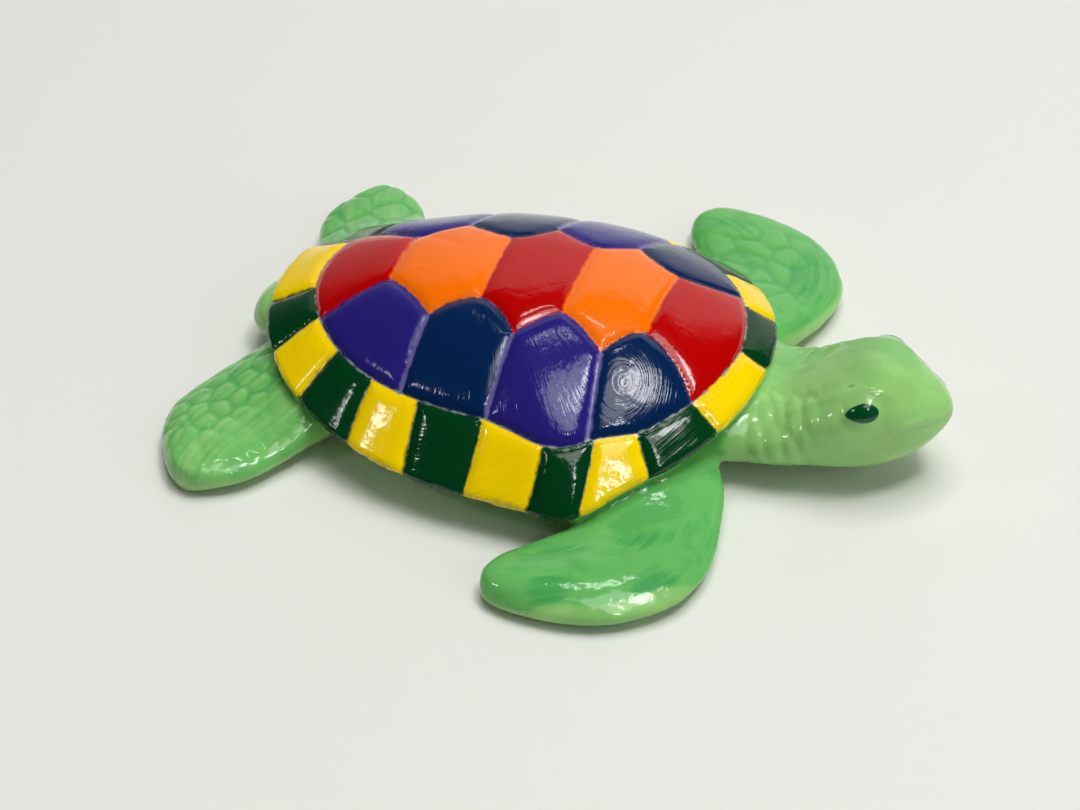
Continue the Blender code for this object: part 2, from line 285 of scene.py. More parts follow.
@dataclass(frozen=True)
class RoundForm:
    """A round form along X through stations, such as the head and neck.

    Each station is (x, centre height, half width, height above, depth below, squareness).
    """

    name: str
    stations: Rows
    centre_y: float = 0.0
    rows: int = 110
    columns: int = 110

    def form(self) -> Form:
        """Lay the form's rings across X.

        Returns:
            The closed form.
        """
        share = np.linspace(0.0, 1.0, self.rows + 2)
        x, z, width, above, below, square = along_stations(self.stations, share).T
        angle = np.linspace(0.0, math.tau, self.columns, endpoint=False)[None, :]
        power = (2 / square)[:, None]
        side = signed_power(np.cos(angle), power) * width[:, None]
        height = signed_power(np.sin(angle), power)
        height = height * np.where(height > 0, above[:, None], below[:, None])
        along = np.repeat(x[:, None], self.columns, axis=1)
        points = np.stack([along, self.centre_y + side, z[:, None] + height], axis=-1)
        ends = [np.array([x[k], self.centre_y, z[k]]) for k in (0, -1)]
        return Form(self.name, points[1:-1], (ends[0], ends[1]))


@dataclass
class Stretch:
    """Where points lie on a flipper seen from above, in millimetres."""

    along: np.ndarray
    across: np.ndarray  # -1 at the trailing edge to 1 at the leading edge
    half_width: np.ndarray
    length: float
    inside: np.ndarray  # whether the point is on this flipper


@dataclass(frozen=True)
class Flipper:
    """A thick paddle between a leading and a trailing edge, swung and scaled about its shoulder.

    Each station is (leading x, y, trailing x, y, centre height, half thickness), outwards.
    """

    name: str
    stations: Rows
    side: int  # 1 on the turtle's left, -1 on its right
    pivot: tuple[float, float]
    shift: tuple[float, float]
    swing: float  # degrees
    scale: float
    bevel: float = 0.0  # how far the top's leading half falls away early instead of at the edge
    bevel_power: float = 2.5
    squareness: float = 2.3
    rows: int = 90
    columns: int = 90
    steps: int = 181  # lines across the flipper against which points are measured
    past_edge: float = 0.56  # how far from the middle line a point may lie, in widths
    past_edge_cost: float = 60.0  # millimetres that each width beyond that counts for
    near: float = 1.5  # millimetres within which a point belongs to the flipper

    def form(self) -> Form:
        """Lay the flipper's rings across its length.

        Returns:
            The closed form.
        """
        share = np.linspace(0.0, 1.0, self.rows + 2)
        lead_x, lead_y, trail_x, trail_y, z, half = (
            column[:, None] for column in along_stations(self.stations, share).T
        )
        angle = np.linspace(0.0, math.tau, self.columns, endpoint=False)[None, :]
        across = signed_power(np.cos(angle), 2 / self.squareness)
        height = signed_power(np.sin(angle), 2 / self.squareness)
        x = (lead_x + trail_x) / 2 + across * (lead_x - trail_x) / 2
        y = (lead_y + trail_y) / 2 + across * (lead_y - trail_y) / 2
        worn = self.bevel * (across > 0) * (height > 0)
        height = height + (1 - np.abs(across) ** self.bevel_power - height) * worn
        points = self.placed(x, y, z + height * half)
        middle = self.placed((lead_x + trail_x) / 2, (lead_y + trail_y) / 2, z)
        return Form(self.name, points[1:-1], (middle[0, 0], middle[-1, 0]))

    def unroll(self, points: np.ndarray) -> Stretch:
        """Find where points lie on the flipper seen from above.

        Args:
            points: Points of the skin, in millimetres.

        Returns:
            Their places out along the flipper and across it.
        """
        turn = math.radians(-self.swing)
        along, out = points[:, 0] - self.pivot[0] - self.shift[0], self.side * points[:, 1]
        out = out - self.pivot[1] - self.shift[1]
        x = self.pivot[0] + (math.cos(turn) * along - math.sin(turn) * out) / self.scale
        y = self.pivot[1] + (math.sin(turn) * along + math.cos(turn) * out) / self.scale
        lines = along_stations(self.stations, np.linspace(0, 1, self.steps))
        lead_x, lead_y, trail_x, trail_y = lines.T[:4]
        run_x, run_y = lead_x - trail_x, lead_y - trail_y
        width = np.hypot(run_x, run_y)
        from_x, from_y = x[:, None] - trail_x, y[:, None] - trail_y
        beside = (from_x * run_y - from_y * run_x) / width
        over = (from_x * run_x + from_y * run_y) / width**2
        beyond = np.maximum(np.abs(over - 0.5) - self.past_edge, 0.0)
        cost = np.abs(beside) + self.past_edge_cost * beyond
        best = np.clip(cost.argmin(axis=1), 1, self.steps - 2)
        each = np.arange(len(best))
        slope = (beside[each, best + 1] - beside[each, best - 1]) / 2
        nudge = np.clip(-beside[each, best] / np.where(slope == 0, 1.0, slope), -1.0, 1.0)
        middle_x, middle_y = (lead_x + trail_x) / 2, (lead_y + trail_y) / 2
        travel = np.concatenate([[0.0], np.cumsum(np.hypot(np.diff(middle_x), np.diff(middle_y)))])
        place = best + nudge
        return Stretch(
            along=np.interp(place, np.arange(self.steps), travel) * self.scale,
            across=2 * over[each, best] - 1,
            half_width=width[best] / 2 * self.scale,
            length=float(travel[-1]) * self.scale,
            inside=cost[each, best] < self.near,
        )

    def placed(self, x: np.ndarray, y: np.ndarray, z: np.ndarray) -> np.ndarray:
        """Swing, scale and shift points about the shoulder, then put them on the flipper's side.

        Args:
            x: Places along the turtle.
            y: Places outwards from its middle.
            z: Heights.

        Returns:
            The points.
        """
        turn = math.radians(self.swing)
        along, out = (x - self.pivot[0]) * self.scale, (y - self.pivot[1]) * self.scale
        new_x = self.pivot[0] + math.cos(turn) * along - math.sin(turn) * out + self.shift[0]
        new_y = self.pivot[1] + math.sin(turn) * along + math.cos(turn) * out + self.shift[1]
        return np.stack(np.broadcast_arrays(new_x, self.side * new_y, z), axis=-1)


HEAD_STATIONS: Rows = (
    (46.0, 12.0, 22.0, 8.0, 9.0, 2.2),
    (62.0, 11.5, 23.5, 8.5, 9.0, 2.2),
    (70.0, 11.0, 21.5, 8.5, 8.6, 2.2),
    (77.0, 11.8, 21.3, 9.0, 8.7, 2.3),
    (85.0, 14.1, 20.0, 11.8, 10.0, 2.5),
    (93.0, 16.4, 18.8, 13.9, 11.6, 2.7),
    (99.0, 17.5, 17.2, 14.2, 11.9, 2.8),
    (104.0, 17.7, 14.5, 12.4, 11.2, 2.7),
    (108.5, 18.0, 11.4, 9.6, 9.8, 2.5),
    (112.5, 18.9, 7.8, 6.6, 7.6, 2.3),
    (115.5, 19.8, 4.0, 3.6, 4.4, 2.2),
    (117.0, 20.0, 1.2, 1.0, 1.6, 2.0),
)
TAIL_STATIONS: Rows = (
    (-48.0, 10.0, 14.0, 7.0, 7.0, 2.0),
    (-62.0, 10.0, 13.5, 7.0, 7.0, 2.0),
    (-67.0, 9.5, 12.3, 6.8, 6.8, 2.0),
    (-71.0, 9.0, 10.2, 5.8, 5.8, 2.0),
    (-74.0, 8.7, 6.8, 3.8, 4.0, 2.0),
    (-75.4, 8.6, 2.0, 1.2, 1.2, 2.0),
)
FORE_STATIONS: Rows = (
    (58.0, 16.0, 20.0, 30.0, 9.5, 7.5),
    (67.5, 32.0, 32.0, 47.0, 7.0, 6.6),
    (71.5, 46.0, 34.5, 54.0, 5.6, 5.6),
    (73.4, 59.0, 35.0, 58.0, 4.9, 5.1),
    (71.4, 70.5, 33.0, 61.0, 4.7, 4.9),
    (65.2, 79.5, 30.0, 64.6, 4.6, 4.8),
    (55.0, 86.8, 26.0, 69.0, 4.5, 4.7),
    (43.0, 89.8, 22.3, 73.0, 4.4, 4.5),
    (31.0, 89.8, 20.3, 76.8, 4.2, 4.2),
    (24.2, 88.2, 19.6, 79.6, 3.9, 3.4),
    (21.0, 86.0, 19.7, 82.3, 3.6, 1.6),
)
HIND_STATIONS: Rows = (
    (-58.0, 2.0, -22.0, 22.0, 8.2, 8.0),
    (-66.0, 8.0, -29.8, 33.8, 7.9, 8.3),
    (-70.0, 17.0, -35.2, 43.0, 7.1, 7.5),
    (-75.0, 26.0, -38.7, 49.7, 5.8, 6.0),
    (-79.5, 37.0, -41.6, 55.2, 4.8, 5.0),
    (-81.0, 46.0, -44.5, 61.2, 4.7, 4.9),
    (-78.5, 55.0, -48.8, 66.4, 4.7, 4.8),
    (-73.0, 63.5, -54.0, 70.0, 4.6, 4.5),
    (-68.5, 68.5, -58.0, 71.8, 4.4, 3.9),
    (-65.0, 70.8, -61.0, 72.0, 4.2, 2.2),
)


@dataclass(frozen=True)
class Plates:
    """Irregular rounded plates pressed into the clay, such as scales and the folds of the neck."""

    length: float  # millimetres along
    width: float  # millimetres across
    seed: int
    unevenness: float = 0.62
    groove_width: float = 0.8
    plate_rise: float = 0.45  # how far a plate domes up, for a groove 1 deep
    plate_rounding: float = 1.7

    def grooves(self, along: np.ndarray, across: np.ndarray) -> np.ndarray:
        """Find how far each place is from the nearest groove.

        Args:
            along: Millimetres along the limb.
            across: Millimetres across it.

        Returns:
            The distance in millimetres.
        """
        many = 64  # plates before the pattern repeats
        table = np.random.default_rng(self.seed).random((many, many, 3))[..., :2]
        u, v = along / self.length, across / self.width
        row = np.floor(v).astype(int)
        first, second = np.full(u.shape, 99.0), np.full(u.shape, 99.0)
        for down in (-1, 0, 1):
            line = row + down
            shifted = u - 0.5 * (line % 2)
            column = np.floor(shifted).astype(int)
            for step in (-1, 0, 1):
                spot = self.unevenness * (table[(column + step) % many, line % many] - 0.5)
                away = np.hypot(shifted - (column + step + 0.5 + spot[:, 0]), v - (line + 0.5 + spot[:, 1]))
                second = np.where(away < first, first, np.minimum(second, away))
                first = np.minimum(first, away)
        return (second - first) / 2 * min(self.length, self.width)

    def profile(self, groove: np.ndarray) -> np.ndarray:
        """A soft groove (-1) between low domed plates."""
        plate = self.plate_rise * (1 - np.exp(-groove / self.plate_rounding))
        return -np.exp(-((groove / self.groove_width) ** 2)) + plate


@dataclass
class Skin:
    """What the limbs, the neck and the head say of each point, in millimetres."""

    relief: np.ndarray
    coat: np.ndarray  # how far inside the limbs' darker top coat
    groove: np.ndarray  # distance from the nearest groove between plates
    daub: np.ndarray  # how strongly a darker daub covers it
    stroke: np.ndarray  # across and along the brush strokes, and the number of the set
    eye: np.ndarray  # how far inside the eye's outline, how high on the eye, how far inside the fleck

    @classmethod
    def bare(cls, points: np.ndarray) -> Skin:
        """Plain skin with strokes that run round the body.

        Args:
            points: Points of the skin.

        Returns:
            The skin, with no relief, coat, eye or daub yet.
        """
        count = len(points)
        body_middle, body_reach, stroke_set = 12.0, 17.0, 50.0
        turn = np.arctan2(points[:, 2] - body_middle, np.abs(points[:, 1]) + 1.0)
        stroke = np.stack([points[:, 0], body_reach * turn, np.full(count, stroke_set)], axis=-1)
        far = np.full(count, FAR)
        return cls(
            relief=np.zeros(count),
            coat=-far,
            groove=far.copy(),
            daub=np.zeros(count),
            stroke=stroke,
            eye=-np.stack([far] * 3, axis=-1),
        )


@dataclass(frozen=True)
class Limb:
    """A flipper with its scales and its top coat."""

    flipper: Flipper
    plates: Plates
    groove_depth: float
    zone: tuple[float, float, float, float]  # shares along and places across where the scales start and end
    plain_depth: float  # the grooves' depth outside the zone
    bare_edge: float  # millimetres of pale paint left along the leading edge
    bare_run: tuple[float, float] = (0.0, 1.1)  # shares along the limb where that pale edge starts and ends
    load: float = 9.0  # how thickly the top coat lies; below 1 the paler paint shows through
    daubs: Rows = ()  # darker daubs: (x, y, half length, half width, degrees, strength) seen from above

    def dress(self, skin: Skin, points: np.ndarray, normals: np.ndarray, number: int) -> None:
        """Add this flipper's scales and paint to the skin.

        Args:
            skin: What is known of each point so far.
            points: Points of the skin.
            normals: Their directions.
            number: The flipper's number, which sets its brush strokes apart.
        """
        place = self.flipper.unroll(points)
        inside = place.inside
        across = place.across * place.half_width
        groove = self.plates.grooves(place.along, across)
        share = place.along / place.length
        start, end, low, high = self.zone
        fade = 0.25  # of the half width
        zone = smooth_step(start, start + 0.08, share) * smooth_step(end, end - 0.12, share)
        zone = zone * smooth_step(low, low + fade, place.across)
        zone = zone * smooth_step(high, high - fade, place.across)
        depth = self.plain_depth + (self.groove_depth - self.plain_depth) * zone
        upward, to_edge = normals[:, 2], np.abs(place.across)  # no scales on the sides or underneath
        depth = depth * smooth_step(0.15, 0.6, upward) * smooth_step(1.0, 0.86, to_edge)
        skin.relief[inside] += (depth * self.plates.profile(groove))[inside]

        bare_start, bare_end = self.bare_run
        bare = smooth_step(bare_start - 0.06, bare_start + 0.06, share)
        bare = bare * smooth_step(bare_end + 0.08, bare_end - 0.08, share)
        past_lead, past_trail = 1.0, 0.5  # millimetres by which the coat runs over each edge
        lead = (1 - place.across) * place.half_width + past_lead - (past_lead + self.bare_edge) * bare
        trail = (1 + place.across) * place.half_width + past_trail
        over_side = (upward - 0.02) * 6.0  # the coat ends where the side turns down
        coat = np.minimum(np.minimum(lead, trail), over_side)
        skin.coat[inside] = np.minimum(coat, self.load)[inside]
        # grooves are darkened by pooled paint and by painted shade; both fade where the groove is shallow
        shallow_groove_easing = 2.5 * (1 - depth / self.groove_depth)  # a shallow groove holds less paint and gets less painted shade
        skin.groove[inside] = (groove + shallow_groove_easing)[inside]
        skin.daub[inside] = self.daubed(points)[inside]
        stroke_set = np.full(len(points), 60.0 + 7 * number)  # far from the body's and the scutes' sets
        skin.stroke[inside] = np.stack([across, place.along, stroke_set], axis=-1)[inside]

    def daubed(self, points: np.ndarray) -> np.ndarray:
        """Find how strongly a darker daub covers each point.

        Args:
            points: Points of the skin.

        Returns:
            The strength, 0 where no daub lies.
        """
        found = np.zeros(len(points))
        for x, y, long, wide, degrees, strength in self.daubs:
            turn = math.radians(degrees)
            away_x, away_y = points[:, 0] - x, points[:, 1] - y
            along = (away_x * math.cos(turn) + away_y * math.sin(turn)) / long
            across = (away_y * math.cos(turn) - away_x * math.sin(turn)) / wide
            found = np.maximum(found, strength * (1 - along**2 - across**2))
        return found


@dataclass(frozen=True)
class Face:
    """Eyes, brows, mouth and the folded neck, alike on both sides."""

    eye_centre: tuple[float, float, float] = (97.6, -15.3, 26.4)
    eye_along: tuple[float, float, float] = (0.95, 0.277, 0.145)
    eye_up: tuple[float, float, float] = (-0.17, 0.54, 0.82)
    eye_front: float = 3.5
    eye_back: float = 4.9
    eye_half_height: float = 2.35
    eye_bulge: float = 0.55
    eye_bulge_reach: float = 3.1
    eye_bead: float = 0.22  # how far the eyeball itself stands out of that swelling
    socket_depth: float = 0.3
    socket_ring: tuple[float, float] = (5.2, 1.4)  # radius and width of the hollow round the eye
    brow: Rows = (
        (78.5, -12.6, 20.2),
        (84.5, -12.3, 24.6),
        (90.5, -11.8, 28.2),
        (96.0, -11.2, 30.2),
        (103.0, -9.6, 29.2),
    )
    brow_height: float = 0.45
    brow_width: float = 1.5
    fleck: tuple[float, float, float] = (93.3, -9.5, 29.5)
    mouth: Rows = ((101.0, 18.6), (104.5, 20.8), (107.0, 22.0), (110.0, 22.1), (113.0, 21.9), (117.0, 20.2))
    mouth_height: float = 0.6
    folds: Plates = Plates(4.6, 9.5, 21, 0.5)
    fold_depth: float = 0.42
    fold_slant: float = 0.42
    neck_from: float = 66.0

    def dress(self, skin: Skin, points: np.ndarray) -> None:
        """Add the face and the neck's folds to the skin.

        Args:
            skin: What is known of each point so far.
            points: Points of the skin.
        """
        right_side = np.stack([points[:, 0], -np.abs(points[:, 1]), points[:, 2]], axis=-1)
        self.dress_eyes(skin, right_side)
        crest = np.zeros(len(points))
        for start, end in zip(self.brow, self.brow[1:]):
            ridge = self.from_line(right_side, start, end)
            crest = np.maximum(crest, np.exp(-((ridge / self.brow_width) ** 2)))
        skin.relief += self.brow_height * crest

        spot = right_side - np.array(self.fleck)
        within = 0.5 - np.hypot(spot[:, 0] * 0.6, spot[:, 1] * 1.2)
        skin.eye[:, 2] = np.where(points[:, 1] < 0, within, -FAR)  # the fleck is on the right side only
        self.dress_mouth(skin, right_side)
        self.dress_neck(skin, right_side)

    def dress_eyes(self, skin: Skin, points: np.ndarray) -> None:
        """Raise the eyes and mark how far inside them each point lies.

        Args:
            skin: What is known of each point so far.
            points: Points of the skin, with both sides laid on the right.
        """
        from_eye = points - np.array(self.eye_centre)
        along, up = from_eye @ np.array(self.eye_along), from_eye @ np.array(self.eye_up)
        away = np.linalg.norm(from_eye, axis=-1)
        tallest_at = 0.5  # from here the eye is round to the front and drawn out to the back
        front = np.abs((along - tallest_at) / self.eye_front) ** 2
        back = np.abs((along - tallest_at) / self.eye_back) ** 1.5
        up = up - 0.1 * along
        height = np.abs(up / self.eye_half_height)
        inside = 1 - np.where(along > tallest_at, front + height**2, back + height**1.6)
        skin.eye[:, 0] = np.where(away < FAR, inside * self.eye_half_height * 0.55, -FAR)
        skin.eye[:, 1] = up
        bead = np.sqrt(np.where(away < FAR, np.clip(inside, 0.0, 1.0), 0.0))
        ring, ring_width = self.socket_ring
        skin.relief += self.eye_bulge * np.exp(-((away / self.eye_bulge_reach) ** 2))
        skin.relief += self.eye_bead * bead
        skin.relief -= self.socket_depth * np.exp(-(((away - ring) / ring_width) ** 2))

    def dress_mouth(self, skin: Skin, points: np.ndarray) -> None:
        """Raise the upper lip along the mouth, with a crease below it.

        Args:
            skin: What is known of each point so far.
            points: Points of the skin.
        """
        x, z = points[:, 0], points[:, 2]
        line = np.interp(x, *np.array(self.mouth).T)
        fade = smooth_step(101.0, 108.0, x) * smooth_step(116.5, 112.0, x)  # between cheek and beak
        lip_width, crease_below, crease_width = 0.8, 1.7, 0.9
        skin.relief += self.mouth_height * fade * np.exp(-(((z - line) / lip_width) ** 2))
        crease = np.exp(-(((z - line + crease_below) / crease_width) ** 2))
        skin.relief -= 0.7 * self.mouth_height * fade * crease

    def dress_neck(self, skin: Skin, points: np.ndarray) -> None:
        """Press the neck's folds, which slant back from its top to its sides.

        Args:
            skin: What is known of each point so far.
            points: Points of the skin, with both sides laid on the right.
        """
        x, y, z = points.T
        neck_middle, neck_reach = 12.0, 16.0
        down = neck_reach * (math.pi / 2 - np.arctan2(z - neck_middle, -y))
        groove = self.folds.grooves(x - self.fold_slant * down, down)
        zone = smooth_step(67.5, 71.5, x) * smooth_step(88.5, 84.0, x)  # from the shell to the cheek
        zone = zone * smooth_step(6.0, 12.0, down) * smooth_step(36.0, 24.0, down)  # on the neck's side
        ahead = x > self.neck_from
        skin.relief += np.where(ahead, self.fold_depth * zone * self.folds.profile(groove), 0.0)
        # the neck's folds keep only a little of the grooves' painted shade and pooled paint
        skin.groove = np.where(ahead, groove + 0.6 + 2.5 * (1 - zone), skin.groove)

    @staticmethod
    def from_line(points: np.ndarray, start: Sequence[float], end: Sequence[float]) -> np.ndarray:
        """Find how far points are from a straight line.

        Args:
            points: Points of the skin.
            start: Where the line starts.
            end: Where it ends.

        Returns:
            The distances.
        """
        run = np.array(end) - np.array(start)
        share = np.clip((points - np.array(start)) @ run / (run @ run), 0.0, 1.0)
        return np.linalg.norm(points - np.array(start) - share[:, None] * run, axis=-1)


class Paint(Enum):
    """The scutes' underglaze colours, in the order in which they were laid."""

    RED = 0
    ORANGE = 1
    YELLOW = 2
    GREEN = 3
    PURPLE = 4
    NAVY = 5


@dataclass
class ScuteMap:
    """What the scute plan says of each point of the dome."""

    scute: np.ndarray  # its number: vertebral from 0, costal from 10 and marginal from 20
    paint: np.ndarray
    neighbour: np.ndarray  # the paint beyond the nearest seam
    seam: np.ndarray  # distance to the nearest seam along the surface
    wash: np.ndarray  # half the bare gap at the nearest seam in millimetres, negative where paints overlap
    pale: np.ndarray  # 1 where the bare gap shows the pale clay, 0 where thin purple lies in it


@dataclass(frozen=True)
class ScutePlan:
    """Where the seams between the scutes run, seen from above, before the hind end swings.

    A zigzag holds, from the rear, cusps and peaks in turn: at a cusp two costal scutes meet the
    vertebral row, and at a peak one costal scute reaches furthest in and two vertebral scutes meet.
    Feet are where the seams between costal scutes end at the marginal ones. The inner line holds
    (degrees from the head, share of the way out to the rim). A wash is half the bare gap along a
    kind of seam in millimetres, negative where the paints overlap.
    """

    right_zigzag: Rows = (
        (-44.5, 22.1),
        (-29.2, 11.2),
        (-13.9, 21.0),
        (-2.4, 14.0),
        (9.9, 23.1),
        (19.5, 13.4),
        (32.3, 21.2),
        (40.6, 11.3),
        (55.7, 21.6),
    )
    left_zigzag: Rows = (
        (-45.6, 17.6),
        (-30.0, 9.1),
        (-17.9, 18.2),
        (-3.9, 12.8),
        (5.8, 22.1),
        (18.6, 15.9),
        (28.0, 22.6),
        (40.9, 15.4),
        (56.8, 23.3),
    )
    right_feet: Rows = ((-14.6, 37.9), (9.5, 41.8), (35.1, 39.0))
    left_feet: Rows = ((-17.5, 36.5), (6.0, 41.5), (31.0, 40.0))
    peak_rounding: tuple[float, ...] = (1.25, 1.7, 1.35, 1.7)
    inner_line: Rows = (
        (0, 0.90),
        (27, 0.885),
        (46, 0.87),
        (58, 0.83),
        (72, 0.79),
        (92, 0.745),
        (115, 0.745),
        (132, 0.755),
        (146, 0.76),
        (159, 0.765),
        (170, 0.78),
        (180, 0.79),
    )
    # Seams between marginal scutes, in degrees round from the head by the left.
    left_seams: tuple[float, ...] = (0, 23, 44, 65, 84, 101, 118, 135, 153, 170)
    right_rim_seams: tuple[float, ...] = (190, 203, 216, 231, 247, 263, 280, 292, 311, 333, 360)
    right_inner_seams: tuple[float, ...] = (190, 201, 214, 228, 245, 268, 288, 302, 314, 333, 360)
    vertebral_paints: tuple[Paint, ...] = (Paint.RED, Paint.ORANGE, Paint.RED, Paint.ORANGE, Paint.RED)
    costal_paints: tuple[Paint, ...] = (Paint.PURPLE, Paint.NAVY, Paint.PURPLE, Paint.NAVY)
    vertebral_wash: float = -0.6
    row_wash: float = -0.35
    costal_wash: float = 0.42
    inner_wash: float = 0.08
    marginal_wash: float = -0.45
    first_costal: int = 10
    first_marginal: int = 20

    def row_width(self, x: np.ndarray, zigzag: Rows) -> np.ndarray:
        """Half width of the vertebral row on one side.

        Args:
            x: Places along the turtle.
            zigzag: That side's cusps and peaks.

        Returns:
            The half widths.
        """
        corners = np.array(zigzag)
        place = np.clip(x, corners[0, 0], corners[-1, 0])
        width = np.full_like(place, corners[-1, 1])
        for index in range(len(corners) - 1):
            peak, cusp = (index, index + 1) if index % 2 else (index + 1, index)
            share = np.abs((place - corners[peak, 0]) / (corners[cusp, 0] - corners[peak, 0]))
            rise = np.clip(share, 0, 1) ** self.peak_rounding[(peak - 1) // 2]
            value = corners[peak, 1] + (corners[cusp, 1] - corners[peak, 1]) * rise
            inside = (place >= corners[index, 0]) & (place <= corners[index + 1, 0])
            width = np.where(inside, value, width)
        return width

    @staticmethod
    def beside_line(x: np.ndarray, y: np.ndarray, start: np.ndarray, end: np.ndarray) -> np.ndarray:
        """Find how far places are from a straight seam.

        Args:
            x: Places along the turtle.
            y: Places across it.
            start: The seam's end nearest the middle or the right.
            end: Its other end.

        Returns:
            The distances, positive on the seam's headward side.
        """
        run = (end - start) / np.linalg.norm(end - start)
        beside = (x - start[0]) * run[1] - (y - start[1]) * run[0]
        return beside if run[1] > 0 else -beside

    def margin_seams(self, outward: np.ndarray) -> np.ndarray:
        """Seams between marginal scutes, which slant a little from the inner line to the rim.

        Args:
            outward: Shares of the way from the inner line (0) out to the rim (1).

        Returns:
            A row of seams in degrees for each share.
        """
        inner = np.array([*self.left_seams, *self.right_inner_seams])
        rim = np.array([*self.left_seams, *self.right_rim_seams])
        return inner[None, :] + (rim - inner)[None, :] * outward[:, None]

    @staticmethod
    def other(paint: np.ndarray, first: Paint, second: Paint) -> np.ndarray:
        """The second paint where the first one lies, and the first elsewhere."""
        return np.where(paint == first.value, second.value, first.value)

    def locate(self, shell: Shell, x: np.ndarray, y: np.ndarray) -> ScuteMap:
        """Find the scute, its paint and the nearest seam for places seen from above.

        Args:
            shell: The shell that carries the scutes.
            x: Places along the turtle.
            y: Places across it.

        Returns:
            What the plan says of each place.
        """
        angle, radius = shell.locate(x, y)
        side = y - shell.swing(x)
        rim_x, rim_y = shell.rim(angle)
        arm = np.hypot(rim_x - shell.crown_at, rim_y)
        degrees = np.degrees(np.abs(angle))
        inner = np.interp(degrees, *np.array(self.inner_line).T)
        step = 0.01
        further_in = shell.dome(angle, np.maximum(radius - step, 0))
        lift = shell.dome(angle, radius)[:, 2] - further_in[:, 2]
        slope = np.hypot(1.0, lift / (step * arm))
        to_inner = np.abs(radius - inner) * arm * slope

        outward = np.clip((radius - inner) / (1 - inner), 0, 1)
        turn = np.degrees(angle) % 360
        seams = self.margin_seams(outward)
        margin = np.clip((turn[:, None] >= seams).sum(axis=1) - 1, 0, seams.shape[1] - 2)
        to_neighbour = np.radians(np.abs(turn[:, None] - seams).min(axis=1)) * arm * radius

        right = side < 0
        right_corners, left_corners = np.array(self.right_zigzag), np.array(self.left_zigzag)
        further = 0.1
        width, ahead = (
            np.where(right, self.row_width(at, self.right_zigzag), self.row_width(at, self.left_zigzag))
            for at in (x, x + further)
        )
        to_row = np.abs(np.abs(side) - width) / np.hypot(1.0, (ahead - width) / further)
        vertebral = np.abs(side) < width

        across = [
            self.beside_line(x, side, right_corners[peak] * (1, -1), left_corners[peak])
            for peak in (1, 3, 5, 7)
        ]
        row_index = sum((value > 0).astype(int) for value in across)
        to_across = np.min(np.abs(across), axis=0)

        down = []
        for cusp, right_foot, left_foot in zip((2, 4, 6), self.right_feet, self.left_feet):
            on_right = self.beside_line(x, -side, right_corners[cusp], np.array(right_foot))
            on_left = self.beside_line(x, side, left_corners[cusp], np.array(left_foot))
            down.append(np.where(right, on_right, on_left))
        costal_index = sum((value > 0).astype(int) for value in down)
        to_down = np.min(np.abs(down), axis=0)

        marginal = radius > inner
        costal = self.first_costal + costal_index + len(self.costal_paints) * right
        scute = np.where(vertebral, row_index, costal)
        scute = np.where(marginal, self.first_marginal + margin, scute)
        row_paint = np.array([paint.value for paint in self.vertebral_paints])[row_index]
        side_paint = np.array([paint.value for paint in self.costal_paints])[costal_index]
        margin_paint = np.where(margin % 2 == 0, Paint.GREEN.value, Paint.YELLOW.value)
        inner_paint = np.where(vertebral, row_paint, side_paint)
        paint = np.where(marginal, margin_paint, inner_paint)

        at_end = np.where(vertebral, to_across, to_down)
        at_row = to_row < at_end
        other_row = self.other(row_paint, Paint.RED, Paint.ORANGE)
        other_side = self.other(side_paint, Paint.NAVY, Paint.PURPLE)
        other_margin = self.other(margin_paint, Paint.GREEN, Paint.YELLOW)
        beyond_end = np.where(vertebral, other_row, other_side)
        beyond_row = np.where(vertebral, side_paint, row_paint)
        between = np.where(marginal, to_neighbour, np.minimum(at_end, to_row))
        at_margin = to_inner < between
        neighbour = np.where(marginal, other_margin, np.where(at_row, beyond_row, beyond_end))
        neighbour = np.where(at_margin, np.where(marginal, inner_paint, margin_paint), neighbour)

        wash = np.where(vertebral, self.vertebral_wash, self.costal_wash)
        wash = np.where(at_row, self.row_wash, wash)
        wash = np.where(marginal, self.marginal_wash, wash)
        wash = np.where(at_margin, self.inner_wash, wash)
        seam = np.minimum(between, to_inner)
        return ScuteMap(scute, paint, neighbour, seam, wash, pale=at_margin * 1.0)


